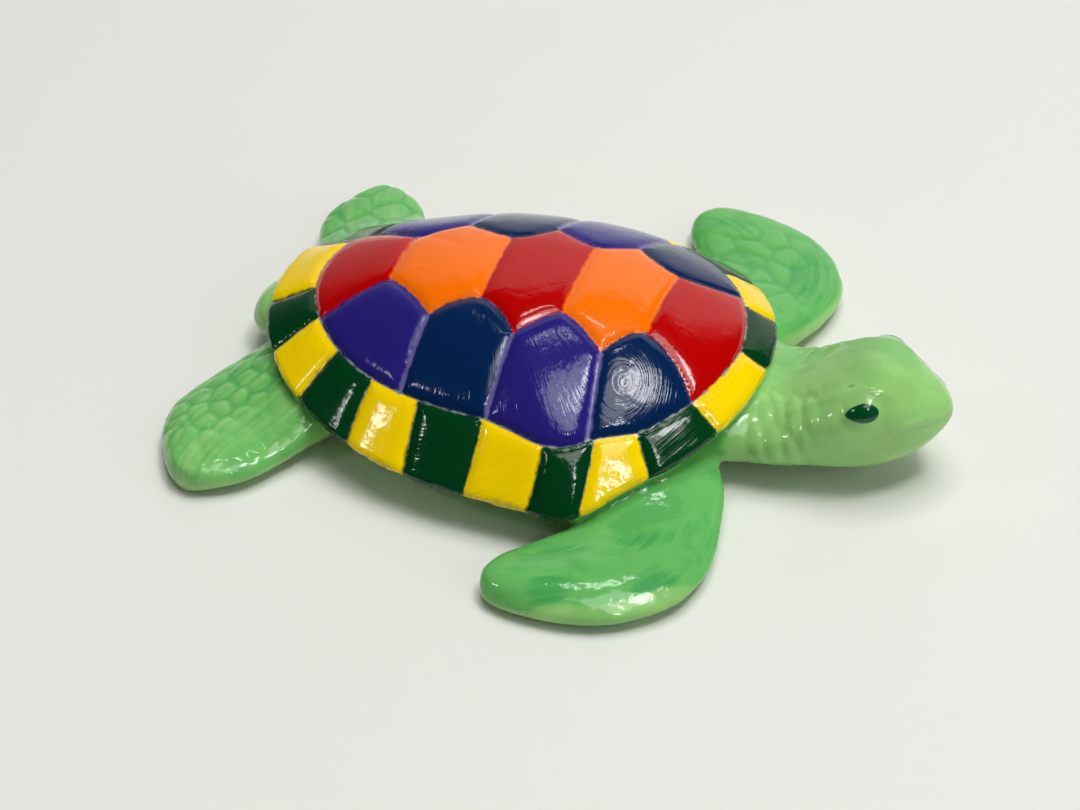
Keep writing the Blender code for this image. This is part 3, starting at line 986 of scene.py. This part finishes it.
@dataclass
class Casting:
    """All forms fused into one skin, smoothed, with its relief raised."""

    shell: Shell = field(default_factory=Shell)
    plan: ScutePlan = field(default_factory=ScutePlan)
    face: Face = field(default_factory=Face)
    voxel: float = 0.84
    smoothings: int = 4
    scute_rise: float = 1.2
    seam_rounding: float = 1.25
    row_flattening: float = 0.2  # how much less the middle of the vertebral row is raised
    row_reach: float = 13.0
    paint_rise: float = 0.4  # how far above the rim's edge the paint ends at the front and the rear
    paint_drop: float = 0.5  # how far below it the paint runs along the sides
    paint_reach: float = 1.012  # share of the outline where the paint ends
    outline_reach: float = 50.0  # millimetres that the whole outline counts for there
    dome_reach: float = 48.0  # millimetres that turn an angle round the crown into a length
    ringed: tuple[int, float, float] = (17, 40.5, -26.5)  # a scute brushed in rings round this x, y

    def limbs(self) -> list[Limb]:
        """The four flippers, each swung, scaled and scaly in its own way.

        Returns:
            The limbs.
        """
        fore, hind = (45.0, 30.0), (-50.0, 20.0)
        return [
            Limb(
                Flipper("fore_right", FORE_STATIONS, -1, fore, (0.5, -2.9), 1.5, 0.96, bevel=1.0),
                Plates(8.0, 6.5, seed=3),
                groove_depth=0.4,
                zone=(2.0, 3.0, -1.2, 1.2),
                plain_depth=0.05,
                bare_edge=4.2,
                bare_run=(0.54, 0.88),
                daubs=(
                    (62.5, -71.5, 11.0, 5.0, 60.0, 0.9),
                    (38.5, -78.6, 7.0, 4.5, 25.0, 0.8),
                    (56.0, -57.0, 12.0, 3.5, 35.0, 0.45),
                    (70.0, -47.0, 9.0, 2.5, 80.0, 0.45),
                    (35.0, -67.0, 14.0, 2.5, 20.0, 0.5),
                ),
            ),
            Limb(
                Flipper("fore_left", FORE_STATIONS, 1, fore, (-4.7, -4.9), -11.4, 1.0),
                Plates(9.4, 7.6, seed=5, unevenness=0.85),
                groove_depth=0.28,
                zone=(0.3, 0.85, -1.2, 0.75),
                plain_depth=0.1,
                bare_edge=0.9,
                daubs=((66.0, 58.0, 15.0, 10.0, 110.0, 0.5), (42.0, 74.0, 12.0, 6.0, 150.0, 0.3)),
            ),
            Limb(
                Flipper("hind_right", HIND_STATIONS, -1, hind, (1.1, -0.8), 5.9, 0.95, bevel=0.7),
                Plates(6.2, 5.6, seed=8, unevenness=0.5),
                groove_depth=0.42,
                zone=(0.1, 0.9, -0.3, 1.2),
                plain_depth=0.15,
                bare_edge=0.2,
                load=0.15,
                daubs=((-75.0, -53.5, 8.0, 4.0, 65.0, 0.9),),
            ),
            Limb(
                Flipper("hind_left", HIND_STATIONS, 1, hind, (-2.0, 9.6), 5.0, 0.74),
                Plates(10.5, 8.5, seed=13),
                groove_depth=0.36,
                zone=(0.1, 1.1, -1.2, 1.2),
                plain_depth=0.16,
                bare_edge=0.8,
                load=0.45,
            ),
        ]

    def forms(self) -> list[Form]:
        """The shell, the head and neck, the tail and the four flippers.

        Returns:
            Closed forms that overlap.
        """
        return [
            self.shell.form(),
            RoundForm("head", HEAD_STATIONS).form(),
            RoundForm("tail", TAIL_STATIONS, centre_y=2.5, rows=40, columns=50).form(),
            *[limb.flipper.form() for limb in self.limbs()],
        ]

    def fuse(self, forms: list[Form]) -> bpy.types.Mesh:
        """Join the forms and wrap one even skin round them.

        Args:
            forms: Closed forms that overlap.

        Returns:
            The fused mesh, in metres.
        """
        points = [form.points() for form in forms]
        starts = np.cumsum([0, *[len(p) for p in points]])
        faces = [
            tuple(int(start) + v for v in face)
            for start, form in zip(starts, forms)
            for face in form.faces()
        ]
        raw = bpy.data.meshes.new("raw_forms")
        raw.from_pydata((np.vstack(points) * MM).tolist(), [], faces)
        holder = bpy.data.objects.new("raw_forms", raw)
        bpy.context.scene.collection.objects.link(holder)
        remesh = holder.modifiers.new("fuse", "REMESH")
        remesh.mode = "VOXEL"
        remesh.voxel_size = self.voxel * MM
        graph = bpy.context.evaluated_depsgraph_get()
        fused = bpy.data.meshes.new_from_object(holder.evaluated_get(graph))
        bpy.data.objects.remove(holder, do_unlink=True)
        bpy.data.meshes.remove(raw)
        return fused

    def build(self) -> bpy.types.Object:
        """Make the finished body and store on it what its paint needs.

        Returns:
            The turtle.
        """
        mesh = self.fuse(self.forms())
        points = read_values(mesh.vertices, "co", 3) / MM
        edges = read_values(mesh.edges, "vertices", 2, np.int64)
        for _ in range(self.smoothings):
            points = smoothed(points, edges)
        points, on_dome = self.settled_on_dome(points)
        points[:, 2] = np.maximum(points[:, 2], 0.0)
        write_points(mesh, points)
        normals = read_values(mesh.vertex_normals, "vector", 3)
        scutes = self.plan.locate(self.shell, points[:, 0], points[:, 1])
        skin = Skin.bare(points)
        for number, limb in enumerate(self.limbs()):
            limb.dress(skin, points, normals, number)
        self.face.dress(skin, points)
        rise = self.scute_rise * (1 - np.exp(-scutes.seam / self.seam_rounding))
        side = points[:, 1] - self.shell.swing(points[:, 0])
        rise -= self.row_flattening * np.clip(1 - (side / self.row_reach) ** 2, 0.0, None)
        relief = rise * on_dome + skin.relief * (1 - on_dome)
        points = points + normals * relief[:, None]
        points[:, 2] = np.maximum(points[:, 2], 0.0)
        write_points(mesh, points)
        self.write_paint(mesh, points, scutes, skin)
        mesh.shade_smooth()
        body = bpy.data.objects.new("painted_turtle", mesh)
        bpy.context.scene.collection.objects.link(body)
        return body

    def settled_on_dome(self, points: np.ndarray) -> tuple[np.ndarray, np.ndarray]:
        """Put the skin's upper points exactly on the dome.

        Args:
            points: Points of the skin.

        Returns:
            The points, and how far each belongs to the dome, 0 to 1.
        """
        angle, radius = self.shell.locate(points[:, 0], points[:, 1])
        height = self.shell.dome(angle, np.minimum(radius, 1.0))[:, 2]
        away = np.abs(points[:, 2] - height)
        none, whole = (1.5, 1.0), (0.9, 0.985)  # millimetres off the dome, and share of the way to the rim
        close = smooth_step(none[0], whole[0], away) * smooth_step(none[1], whole[1], radius)
        settled = points.copy()
        settled[:, 2] += (height - points[:, 2]) * close
        return settled, close

    def write_paint(
        self, mesh: bpy.types.Mesh, points: np.ndarray, scutes: ScuteMap, skin: Skin
    ) -> None:
        """Store how far each point lies inside each paint, and how its brush strokes run.

        Args:
            mesh: The body's mesh.
            points: Its points.
            scutes: What the scute plan says of them.
            skin: What the limbs, the neck and the head say of them.
        """
        x, y, z = points.T
        angle, radius = self.shell.locate(x, y)
        beside = smooth_step(0.92, 0.78, np.abs(np.cos(angle)))
        edge = self.shell.rim_height(angle) + self.paint_rise
        edge = edge - (self.paint_rise + self.paint_drop) * beside
        outside = np.minimum(z - edge, (self.paint_reach - radius) * self.outline_reach)
        reach = []
        for paint in Paint:
            own = np.where(scutes.neighbour == paint.value, -scutes.seam, -FAR)
            own = np.where(scutes.paint == paint.value, scutes.seam, own)
            reach.append(np.minimum(own, outside))
        near_shell = (outside > -1.0)[:, None]
        stroke = np.where(near_shell, self.shell_strokes(x, y, scutes), skin.stroke)
        for name, columns in (
            ("warm_reach", reach[:3]),
            ("cool_reach", reach[3:]),
            ("shell_facts", [scutes.wash, outside, scutes.pale]),
            ("stroke", list(stroke.T)),
            ("skin_facts", [skin.coat, skin.groove, skin.daub]),
            ("eye_facts", list(skin.eye.T)),
        ):
            layer = mesh.attributes.new(name, "FLOAT_VECTOR", "POINT")
            layer.data.foreach_set("vector", np.stack(columns, axis=-1).astype(np.float32).ravel())

    def shell_strokes(self, x: np.ndarray, y: np.ndarray, scutes: ScuteMap) -> np.ndarray:
        """Run the brush along the vertebral row, down the costal scutes and round the rim.

        Args:
            x: Places along the turtle.
            y: Places across it.
            scutes: What the scute plan says of them.

        Returns:
            Across and along the strokes, and a number that sets each scute's strokes apart.
        """
        side = y - self.shell.swing(x)
        arm = np.hypot(x - self.shell.crown_at, side)
        round_way = np.arctan2(np.abs(side), x - self.shell.crown_at) * self.dome_reach
        vertebral = scutes.scute < self.plan.first_costal
        marginal = scutes.scute >= self.plan.first_marginal
        across = np.where(vertebral, side, np.where(marginal, arm, round_way))
        along = np.where(vertebral, x, np.where(marginal, round_way, arm))
        number, middle_x, middle_y = self.ringed
        rings = scutes.scute == number
        east, north = x - middle_x, y - middle_y
        oval, lean, apart = 0.8, 0.2, 3.7
        across = np.where(rings, np.hypot(east, oval * north) + lean * east, across)
        along = np.where(rings, east + north, along)
        return np.stack([across, along, scutes.scute * apart], axis=-1)


def read_values(
    items: bpy.types.bpy_prop_collection, name: str, width: int, kind: type = np.float64
) -> np.ndarray:
    """Read one property of every point, edge or normal of a mesh.

    Args:
        items: The mesh's points, edges or normals.
        name: Name of the property.
        width: How many numbers each of them has.
        kind: Type of the numbers.

    Returns:
        One row for each.
    """
    values = np.empty(len(items) * width, dtype=kind)
    items.foreach_get(name, values)
    return values.reshape(-1, width)


def write_points(mesh: bpy.types.Mesh, points: np.ndarray) -> None:
    """Move the mesh's points to these places in millimetres."""
    mesh.vertices.foreach_set("co", (points * MM).ravel())
    mesh.update()


def smoothed(values: np.ndarray, edges: np.ndarray) -> np.ndarray:
    """Move each value halfway to the mean of its neighbours.

    Args:
        values: A row for each point.
        edges: Pairs of point numbers.

    Returns:
        The smoothed rows.
    """
    total = np.zeros_like(values)
    count = np.zeros(len(values))
    for here, there in ((0, 1), (1, 0)):
        for axis in range(values.shape[1]):
            total[:, axis] += np.bincount(
                edges[:, here], weights=values[edges[:, there], axis], minlength=len(values)
            )
        count += np.bincount(edges[:, here], minlength=len(values))
    return (values + total / np.maximum(count, 1)[:, None]) / 2


def linear_colour(code: str) -> Colour:
    """Turn an sRGB hex code into a linear colour.

    Args:
        code: The code, such as #FFFFFF.

    Returns:
        The linear colour, opaque.
    """
    channels = [int(code[k : k + 2], 16) / 255 for k in (1, 3, 5)]
    red, green, blue = (c / 12.92 if c <= 0.04045 else ((c + 0.055) / 1.055) ** 2.4 for c in channels)
    return red, green, blue, 1.0


def add_node(
    tree: bpy.types.NodeTree,
    kind: str,
    settings: dict[str, object] | None = None,
    inputs: dict[int | str, object] | None = None,
) -> bpy.types.Node:
    """Add a node with its settings and links.

    Args:
        tree: Node tree to add to.
        kind: Blender's name for the node's type.
        settings: The node's own properties.
        inputs: Value or output socket for each input, by name or number.

    Returns:
        The new node.
    """
    node = tree.nodes.new(kind)
    for name, value in (settings or {}).items():
        setattr(node, name, value)
    for name, value in (inputs or {}).items():
        if isinstance(value, bpy.types.NodeSocket):
            tree.links.new(value, node.inputs[name])
        else:
            node.inputs[name].default_value = value
    return node


SMOOTH = {"interpolation_type": "SMOOTHSTEP"}
COLOURS = {"data_type": "RGBA"}
MULTIPLY_ADD = {"operation": "MULTIPLY_ADD"}
ADD = {"operation": "ADD"}
MULTIPLY = {"operation": "MULTIPLY"}


@dataclass(frozen=True)
class GlazedPaint:
    """Hand-painted underglaze below a clear gloss glaze on slip-cast earthenware.

    The glaze is glassy, so lamps show as hard white glints. It follows the brush strokes and pools in the
    seams, so each glint breaks up along the strokes. All sizes are in millimetres.
    """

    name: str = "underglaze_and_clear_glaze"
    skin: str = "#96CE79"
    skin_cool: str = "#7EBF69"
    skin_warm: str = "#8FC26E"
    coat: str = "#66B860"
    coat_deep: str = "#3E9F52"
    coat_thin: str = "#7FC069"
    seam: str = "#6A62A0"  # thin purple in the bare gaps
    seam_pale: str = "#8F9896"  # bare clay in the gap along the marginal scutes
    olive: str = "#8E9A05"  # green that the brush dragged into the yellow at the rim
    scutes: tuple[str, ...] = ("#B80101", "#FF7402", "#FFD800", "#003B19", "#271F78", "#032450")
    eye: str = "#034A24"
    eye_thin: str = "#006B48"
    roughness: float = 0.1
    ior: float = 1.5
    mottles: Rows = ((10.526, 0.0), (20.833, 0.0), (11.111, 0.8))  # sizes and bends of the skin's patches
    # A single bristle's mark is near 0.1 wide, too fine to show, so these are marks of small tufts.
    stroke_width: float = 0.55
    stroke_length: float = 9.0
    wobble: float = 2.381  # between the bends of a painted edge
    wobble_reach: float = 0.3  # how far they stray
    swells: tuple[float, float] = (3.5, 1.3)  # between the glaze's soft swells, and its fine ripples
    swell_heights: tuple[float, float] = (0.13, 0.08)  # on the skin, and on the shell
    ripple_height: float = 0.04
    bristle_depths: tuple[float, float] = (0.008, 0.065)  # on light paints, and on dark ones

    def material(self) -> bpy.types.Material:
        """Build the paint's node tree.

        Returns:
            The material.
        """
        material = bpy.data.materials.new(self.name)
        material.use_nodes = True
        tree = material.node_tree
        shader = tree.nodes["Principled BSDF"]
        shader.inputs["Roughness"].default_value = self.roughness
        shader.inputs["IOR"].default_value = self.ior
        place = add_node(tree, "ShaderNodeTexCoord").outputs["Object"]
        bristles = self.bristles(tree, 1.0)
        skin = self.skin_colour(tree, place)
        colour, dark = self.scute_colour(tree, place, skin, bristles)
        tree.links.new(self.eye_colour(tree, colour), shader.inputs["Base Color"])
        tree.links.new(self.glaze_surface(tree, place, bristles, dark), shader.inputs["Normal"])
        return material

    def bristles(self, tree: bpy.types.NodeTree, coarseness: float) -> Socket:
        """Draw marks along the brush strokes.

        Args:
            tree: Node tree to add to.
            coarseness: How many times wider and longer than the finest marks they are.

        Returns:
            Their strength, about 0.3 to 0.7.
        """
        source = add_node(tree, "ShaderNodeAttribute", {"attribute_name": "stroke"}).outputs["Vector"]
        across, along = 1 / (self.stroke_width * coarseness), 1 / (self.stroke_length * coarseness)
        scaled = add_node(tree, "ShaderNodeVectorMath", MULTIPLY, {0: source, 1: (across, along, 1.0)})
        marks = {"Vector": scaled.outputs[0], "Scale": 1.0, "Detail": 2.0, "Roughness": 0.55}
        return add_node(tree, "ShaderNodeTexNoise", inputs=marks).outputs["Fac"]

    def skin_colour(self, tree: bpy.types.NodeTree, place: Socket) -> Socket:
        """Pale green skin, mottled, a darker coat brushed over the flippers' tops, and grooves darkened by
        painted shade and pooled paint.

        Args:
            tree: Node tree to add to.
            place: Object coordinates.

        Returns:
            The skin's colour.
        """
        coat, groove, daub = self.facts(tree, "skin_facts")
        patches = []
        for size, bend in self.mottles:
            patch = {"Vector": place, "Scale": 1 / (size * MM), "Detail": 3.0, "Distortion": bend}
            patches.append(add_node(tree, "ShaderNodeTexNoise", inputs=patch).outputs["Fac"])
        marks, broad = (self.bristles(tree, coarseness) for coarseness in (3.2, 5.0))
        laid = add_node(tree, "ShaderNodeMath", MULTIPLY_ADD, {0: marks, 1: 1.6, 2: -0.8}).outputs[0]
        laid = add_node(tree, "ShaderNodeMath", ADD, {0: laid, 1: daub}).outputs[0]
        ragged = add_node(tree, "ShaderNodeMath", MULTIPLY_ADD, {0: broad, 1: 2.6, 2: -1.3}).outputs[0]
        level = add_node(tree, "ShaderNodeMath", ADD, {0: coat, 1: ragged}).outputs[0]
        warm, cool, thick, thin, daubed, covered, groove_pool_and_shade = (
            add_node(
                tree, "ShaderNodeMapRange", how, {"Value": value, 1: low, 2: high, 3: first, 4: last}
            ).outputs[0]
            for how, value, low, high, first, last in (
                (None, patches[0], 0.42, 0.62, 0.0, 1.0),
                (None, patches[1], 0.5, 0.66, 0.0, 1.0),
                (None, patches[2], 0.5, 0.6, 0.0, 0.35),
                (None, marks, 0.48, 0.75, 0.0, 0.25),
                (SMOOTH, laid, 0.1, 0.75, 0.0, 0.8),
                (SMOOTH, level, -0.9, 0.9, 0.0, 1.0),
                (SMOOTH, groove, 0.0, 0.9, 0.6, 0.0),
            )
        )
        top: Socket | Colour = linear_colour(self.coat)
        for share, code in ((thin, self.coat_thin), (thick, self.coat_deep), (daubed, self.coat_deep)):
            over = {0: share, 6: top, 7: linear_colour(code)}
            top = add_node(tree, "ShaderNodeMix", COLOURS, over).outputs[2]
        colour: Socket | Colour = linear_colour(self.skin)
        for share, upper in (
            (warm, linear_colour(self.skin_warm)),
            (cool, linear_colour(self.skin_cool)),
            (covered, top),
            # darker green in the grooves between plates and folds: painted shade and pooled paint
            (groove_pool_and_shade, linear_colour(self.coat_deep)),
        ):
            over = {0: share, 6: colour, 7: upper}
            colour = add_node(tree, "ShaderNodeMix", COLOURS, over).outputs[2]
        return colour

    def scute_colour(
        self, tree: bpy.types.NodeTree, place: Socket, skin: Socket, bristles: Socket
    ) -> tuple[Socket, Socket]:
        """Lay each scute's paint up to the pale seams.

        Args:
            tree: Node tree to add to.
            place: Object coordinates.
            skin: Colour under and round the shell.
            bristles: Fine marks along the brush strokes.

        Returns:
            The colour, and how strongly the bristles have marked the paint.
        """
        bends = {"Vector": place, "Scale": 1 / (self.wobble * MM), "Detail": 3.0}
        wobble = add_node(tree, "ShaderNodeTexNoise", inputs=bends).outputs["Fac"]
        wash, outside, pale = self.facts(tree, "shell_facts")
        shell, near_rim, stray, streaked, shade = (
            add_node(
                tree, "ShaderNodeMapRange", how, {"Value": value, 1: low, 2: high, 3: first, 4: last}
            ).outputs[0]
            for how, value, low, high, first, last in (
                (SMOOTH, outside, 0.4, 1.4, 0.0, 1.0),
                (SMOOTH, outside, 0.2, 2.6, 0.5, 0.0),
                (None, wobble, 0.3, 0.7, -self.wobble_reach, self.wobble_reach),
                (None, bristles, 0.42, 0.65, 0.0, 0.9),
                (None, bristles, 0.3, 0.7, 0.97, 1.03),
            )
        )
        tint = add_node(tree, "ShaderNodeMath", MULTIPLY, {0: near_rim, 1: streaked}).outputs[0]
        bias = add_node(tree, "ShaderNodeMath", {"operation": "SUBTRACT"}, {0: stray, 1: wash}).outputs[0]
        spread = add_node(tree, "ShaderNodeMath", {"operation": "ABSOLUTE"}, {0: wash}).outputs[0]
        full = add_node(tree, "ShaderNodeMath", ADD, {0: spread, 1: 0.25}).outputs[0]
        gap = {0: pale, 6: linear_colour(self.seam), 7: linear_colour(self.seam_pale)}
        bare = add_node(tree, "ShaderNodeMix", COLOURS, gap).outputs[2]
        colour = add_node(tree, "ShaderNodeMix", COLOURS, {0: shell, 6: skin, 7: bare}).outputs[2]
        reaches = [*self.facts(tree, "warm_reach"), *self.facts(tree, "cool_reach")]
        dark: Socket | float = 0.0
        for paint, code, reach in zip(Paint, self.scutes, reaches):
            level = add_node(tree, "ShaderNodeMath", ADD, {0: reach, 1: bias}).outputs[0]
            lies = {"Value": level, 1: -0.3, 2: full}
            cover = add_node(tree, "ShaderNodeMapRange", SMOOTH, lies).outputs[0]
            own: Socket | Colour = linear_colour(code)
            if paint is Paint.YELLOW:
                dragged = {0: tint, 6: own, 7: linear_colour(self.olive)}
                own = add_node(tree, "ShaderNodeMix", COLOURS, dragged).outputs[2]
            colour = add_node(tree, "ShaderNodeMix", COLOURS, {0: cover, 6: colour, 7: own}).outputs[2]
            if paint in (Paint.GREEN, Paint.PURPLE, Paint.NAVY):
                darker = {0: dark, 1: cover}
                dark = add_node(tree, "ShaderNodeMath", {"operation": "MAXIMUM"}, darker).outputs[0]
        marks = add_node(tree, "ShaderNodeMath", MULTIPLY_ADD, {0: shell, 1: 0.08, 2: dark}).outputs[0]
        shaded = add_node(tree, "ShaderNodeHueSaturation", inputs={"Color": colour, "Value": shade})
        return shaded.outputs[0], marks

    def eye_colour(self, tree: bpy.types.NodeTree, colour: Socket) -> Socket:
        """Paint the eye, thinner towards its lower lid, and one stray fleck behind the brow.

        Args:
            tree: Node tree to add to.
            colour: Colour round the eye.

        Returns:
            The colour with the eye on it.
        """
        reach, up, fleck = self.facts(tree, "eye_facts")
        lower = {"Value": up, 1: -2.3, 2: -1.4, 3: 0.9, 4: 0.0}
        thin = add_node(tree, "ShaderNodeMapRange", inputs=lower).outputs[0]
        washed = {0: thin, 6: linear_colour(self.eye), 7: linear_colour(self.eye_thin)}
        eye = add_node(tree, "ShaderNodeMix", COLOURS, washed).outputs[2]
        for mark, blur, paint in ((reach, 0.16, eye), (fleck, 0.35, linear_colour(self.coat_deep))):
            edge = {"Value": mark, 1: -blur, 2: blur}
            cover = add_node(tree, "ShaderNodeMapRange", SMOOTH, edge).outputs[0]
            over = {0: cover, 6: colour, 7: paint}
            colour = add_node(tree, "ShaderNodeMix", COLOURS, over).outputs[2]
        return colour

    def glaze_surface(
        self, tree: bpy.types.NodeTree, place: Socket, bristles: Socket, dark: Socket
    ) -> Socket:
        """Swells in the glaze and the marks of the bristles, strongest on the dark paints.

        Args:
            tree: Node tree to add to.
            place: Object coordinates.
            bristles: Fine marks along the brush strokes.
            dark: How strongly they have marked the paint.

        Returns:
            The bumped normal.
        """
        outside = self.facts(tree, "shell_facts")[1]
        swell, ripple = (
            add_node(
                tree,
                "ShaderNodeTexNoise",
                inputs={"Vector": place, "Scale": 1 / (size * MM), "Detail": detail},
            ).outputs["Fac"]
            for size, detail in zip(self.swells, (1.0, 2.0))
        )
        swell_height, bristle_depth = (
            add_node(
                tree, "ShaderNodeMapRange", inputs={"Value": value, 1: low, 2: high, 3: first, 4: last}
            ).outputs[0]
            for value, low, high, (first, last) in (
                (outside, -0.5, 0.5, self.swell_heights),
                (dark, 0.0, 1.0, self.bristle_depths),
            )
        )
        height = add_node(tree, "ShaderNodeMath", MULTIPLY, {0: swell, 1: swell_height}).outputs[0]
        for wave, tall in ((ripple, self.ripple_height), (bristles, bristle_depth)):
            height = add_node(tree, "ShaderNodeMath", MULTIPLY_ADD, {0: wave, 1: tall, 2: height}).outputs[0]
        bump = {"Height": height, "Strength": 1.0, "Distance": MM}
        return add_node(tree, "ShaderNodeBump", inputs=bump).outputs[0]

    @staticmethod
    def facts(tree: bpy.types.NodeTree, name: str) -> list[Socket]:
        """The three numbers of a stored attribute."""
        source = add_node(tree, "ShaderNodeAttribute", {"attribute_name": name}).outputs["Vector"]
        return list(add_node(tree, "ShaderNodeSeparateXYZ", inputs={0: source}).outputs)


@dataclass(frozen=True)
class MattLaminate:
    """Melamine laminate pressed with a fine matt texture: it shows soft shadows and no reflections."""

    name: str = "matt_laminate"
    colour: str = "#E6E6E0"
    roughness: float = 0.6

    def material(self) -> bpy.types.Material:
        """Build the laminate's plain shader.

        Returns:
            The material.
        """
        material = bpy.data.materials.new(self.name)
        material.use_nodes = True
        shader = material.node_tree.nodes["Principled BSDF"]
        shader.inputs["Base Color"].default_value = linear_colour(self.colour)
        shader.inputs["Roughness"].default_value = self.roughness
        return material


@dataclass(frozen=True)
class Lamp:
    """A rectangular soft light that points at the turtle."""

    name: str
    towards: tuple[float, float, float]  # direction from the turtle to the lamp
    size: tuple[float, float]  # metres
    radiance: float
    mirrored: bool = True  # whether the glaze shows it
    spreads: bool = True  # whether it lights matt colours too
    distance: float = 2.0

    def hang(self) -> None:
        """Put the lamp in place."""
        data = bpy.data.lights.new(self.name, "AREA")
        data.shape = "RECTANGLE"
        data.size, data.size_y = self.size
        data.energy = math.pi * self.size[0] * self.size[1] * self.radiance
        light = bpy.data.objects.new(self.name, data)
        light.location = Vector(self.towards).normalized() * self.distance
        light.rotation_euler = (-light.location).to_track_quat("-Z", "Y").to_euler()
        light.visible_camera = False
        light.visible_glossy = self.mirrored
        light.visible_diffuse = self.spreads
        bpy.context.scene.collection.objects.link(light)


@dataclass(frozen=True)
class Studio:
    """Pale table, soft lights and the camera."""

    lamps: tuple[Lamp, ...] = (
        Lamp("soft_key", (0.12, 0.16, 1.0), (1.5, 1.5), 4.05, mirrored=False),
        Lamp("near_fill", (1.0, -0.32, 0.42), (2.4, 1.6), 1.15, mirrored=False),
        Lamp("far_panel", (-0.06, 0.34, 0.94), (0.44, 0.05), 24.0),
        Lamp("ceiling_panel", (0.34, 0.03, 0.94), (0.5, 0.34), 14.0),
        Lamp("ceiling_glow", (0.24, -0.12, 0.96), (0.9, 0.92), 3.3, spreads=False),
        Lamp("near_window", (-0.64, -0.4, 0.65), (0.17, 0.17), 21.0),
        Lamp("small_lamp", (0.41, -0.4, 0.82), (0.14, 0.13), 30.0, spreads=False),
    )
    wall_from: tuple[float, float] = (-75.0, -5.0)  # degrees round from far, where the pale wall fades in
    wall_to: tuple[float, float] = (32.0, 19.0)  # and out
    wall_top: tuple[float, float] = (0.73, 0.67)  # sines of the elevations between which it ends
    wall_light: float = 0.72
    room_light: float = 0.02
    room_tint: Colour = (1.0, 1.0, 0.98, 1.0)
    table_reach: float = 3.0  # metres

    azimuth: float = 22.0  # degrees from -Y towards +X
    elevation: float = 39.5  # degrees above the table
    roll: float = 2.9  # degrees
    distance: float = 648.8  # millimetres from the turtle's origin, along the view
    aside: float = 6.67  # millimetres that the camera stands to the right of it
    below: float = 5.47  # and below it
    lens: float = 81.1  # focal length

    def camera(self) -> None:
        """Place the camera at its viewing angle."""
        a, e, roll = (math.radians(v) for v in (self.azimuth, self.elevation, self.roll))
        ahead = Vector((-math.sin(a) * math.cos(e), math.cos(a) * math.cos(e), -math.sin(e)))
        level = Vector((math.cos(a), math.sin(a), 0.0))
        upright = level.cross(ahead)
        right = level * math.cos(roll) - upright * math.sin(roll)
        up = level * math.sin(roll) + upright * math.cos(roll)
        place = (-ahead * self.distance + right * self.aside - up * self.below) * MM
        data = bpy.data.cameras.new("camera")
        data.lens = self.lens
        camera = bpy.data.objects.new("camera", data)
        axes = Matrix((right, up, -ahead)).transposed().to_4x4()
        camera.matrix_world = Matrix.Translation(place) @ axes
        bpy.context.scene.collection.objects.link(camera)
        bpy.context.scene.camera = camera

    def floor(self) -> None:
        """A plain pale table that runs out of view on all sides."""
        data = bpy.data.meshes.new("table")
        side = self.table_reach
        corners = [(-side, -side, 0.0), (side, -side, 0.0), (side, side, 0.0), (-side, side, 0.0)]
        data.from_pydata(corners, [], [(0, 1, 2, 3)])
        data.materials.append(MattLaminate().material())
        table = bpy.data.objects.new("table", data)
        bpy.context.scene.collection.objects.link(table)

    def lights(self) -> None:
        """Hang the lamps in a dim room with a pale wall beyond the table."""
        for lamp in self.lamps:
            lamp.hang()
        world = bpy.data.worlds.new("room")
        bpy.context.scene.world = world
        world.use_nodes = True
        tree = world.node_tree
        ray = add_node(tree, "ShaderNodeTexCoord").outputs["Generated"]
        x, y, z = add_node(tree, "ShaderNodeSeparateXYZ", inputs={0: ray}).outputs
        turn = add_node(tree, "ShaderNodeMath", {"operation": "ARCTAN2"}, {0: x, 1: y}).outputs[0]
        level: Socket | float = self.wall_light - self.room_light
        for value, low, high in (
            (turn, *(math.radians(degrees) for degrees in self.wall_from)),
            (turn, *(math.radians(degrees) for degrees in self.wall_to)),
            (z, *self.wall_top),
        ):
            fade = {"Value": value, 1: low, 2: high}
            share = add_node(tree, "ShaderNodeMapRange", SMOOTH, fade).outputs[0]
            level = add_node(tree, "ShaderNodeMath", MULTIPLY, {0: level, 1: share}).outputs[0]
        level = add_node(tree, "ShaderNodeMath", ADD, {0: level, 1: self.room_light}).outputs[0]
        background = tree.nodes["Background"]
        background.inputs["Color"].default_value = self.room_tint
        tree.links.new(level, background.inputs["Strength"])


def main() -> None:
    """Build the turtle, its looks and the studio."""
    logging.basicConfig(level=logging.INFO, format="%(name)s: %(message)s")
    body = Casting().build()
    body.data.materials.clear()
    body.data.materials.append(GlazedPaint().material())
    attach(body, "root")
    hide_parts(NODE)
    LOG.info("%s: %d points, %d faces", body.name, len(body.data.vertices), len(body.data.polygons))
    studio = Studio()
    studio.floor()
    studio.lights()
    studio.camera()
    bpy.context.scene.view_settings.view_transform = "Standard"


if __name__ == "__main__":
    main()
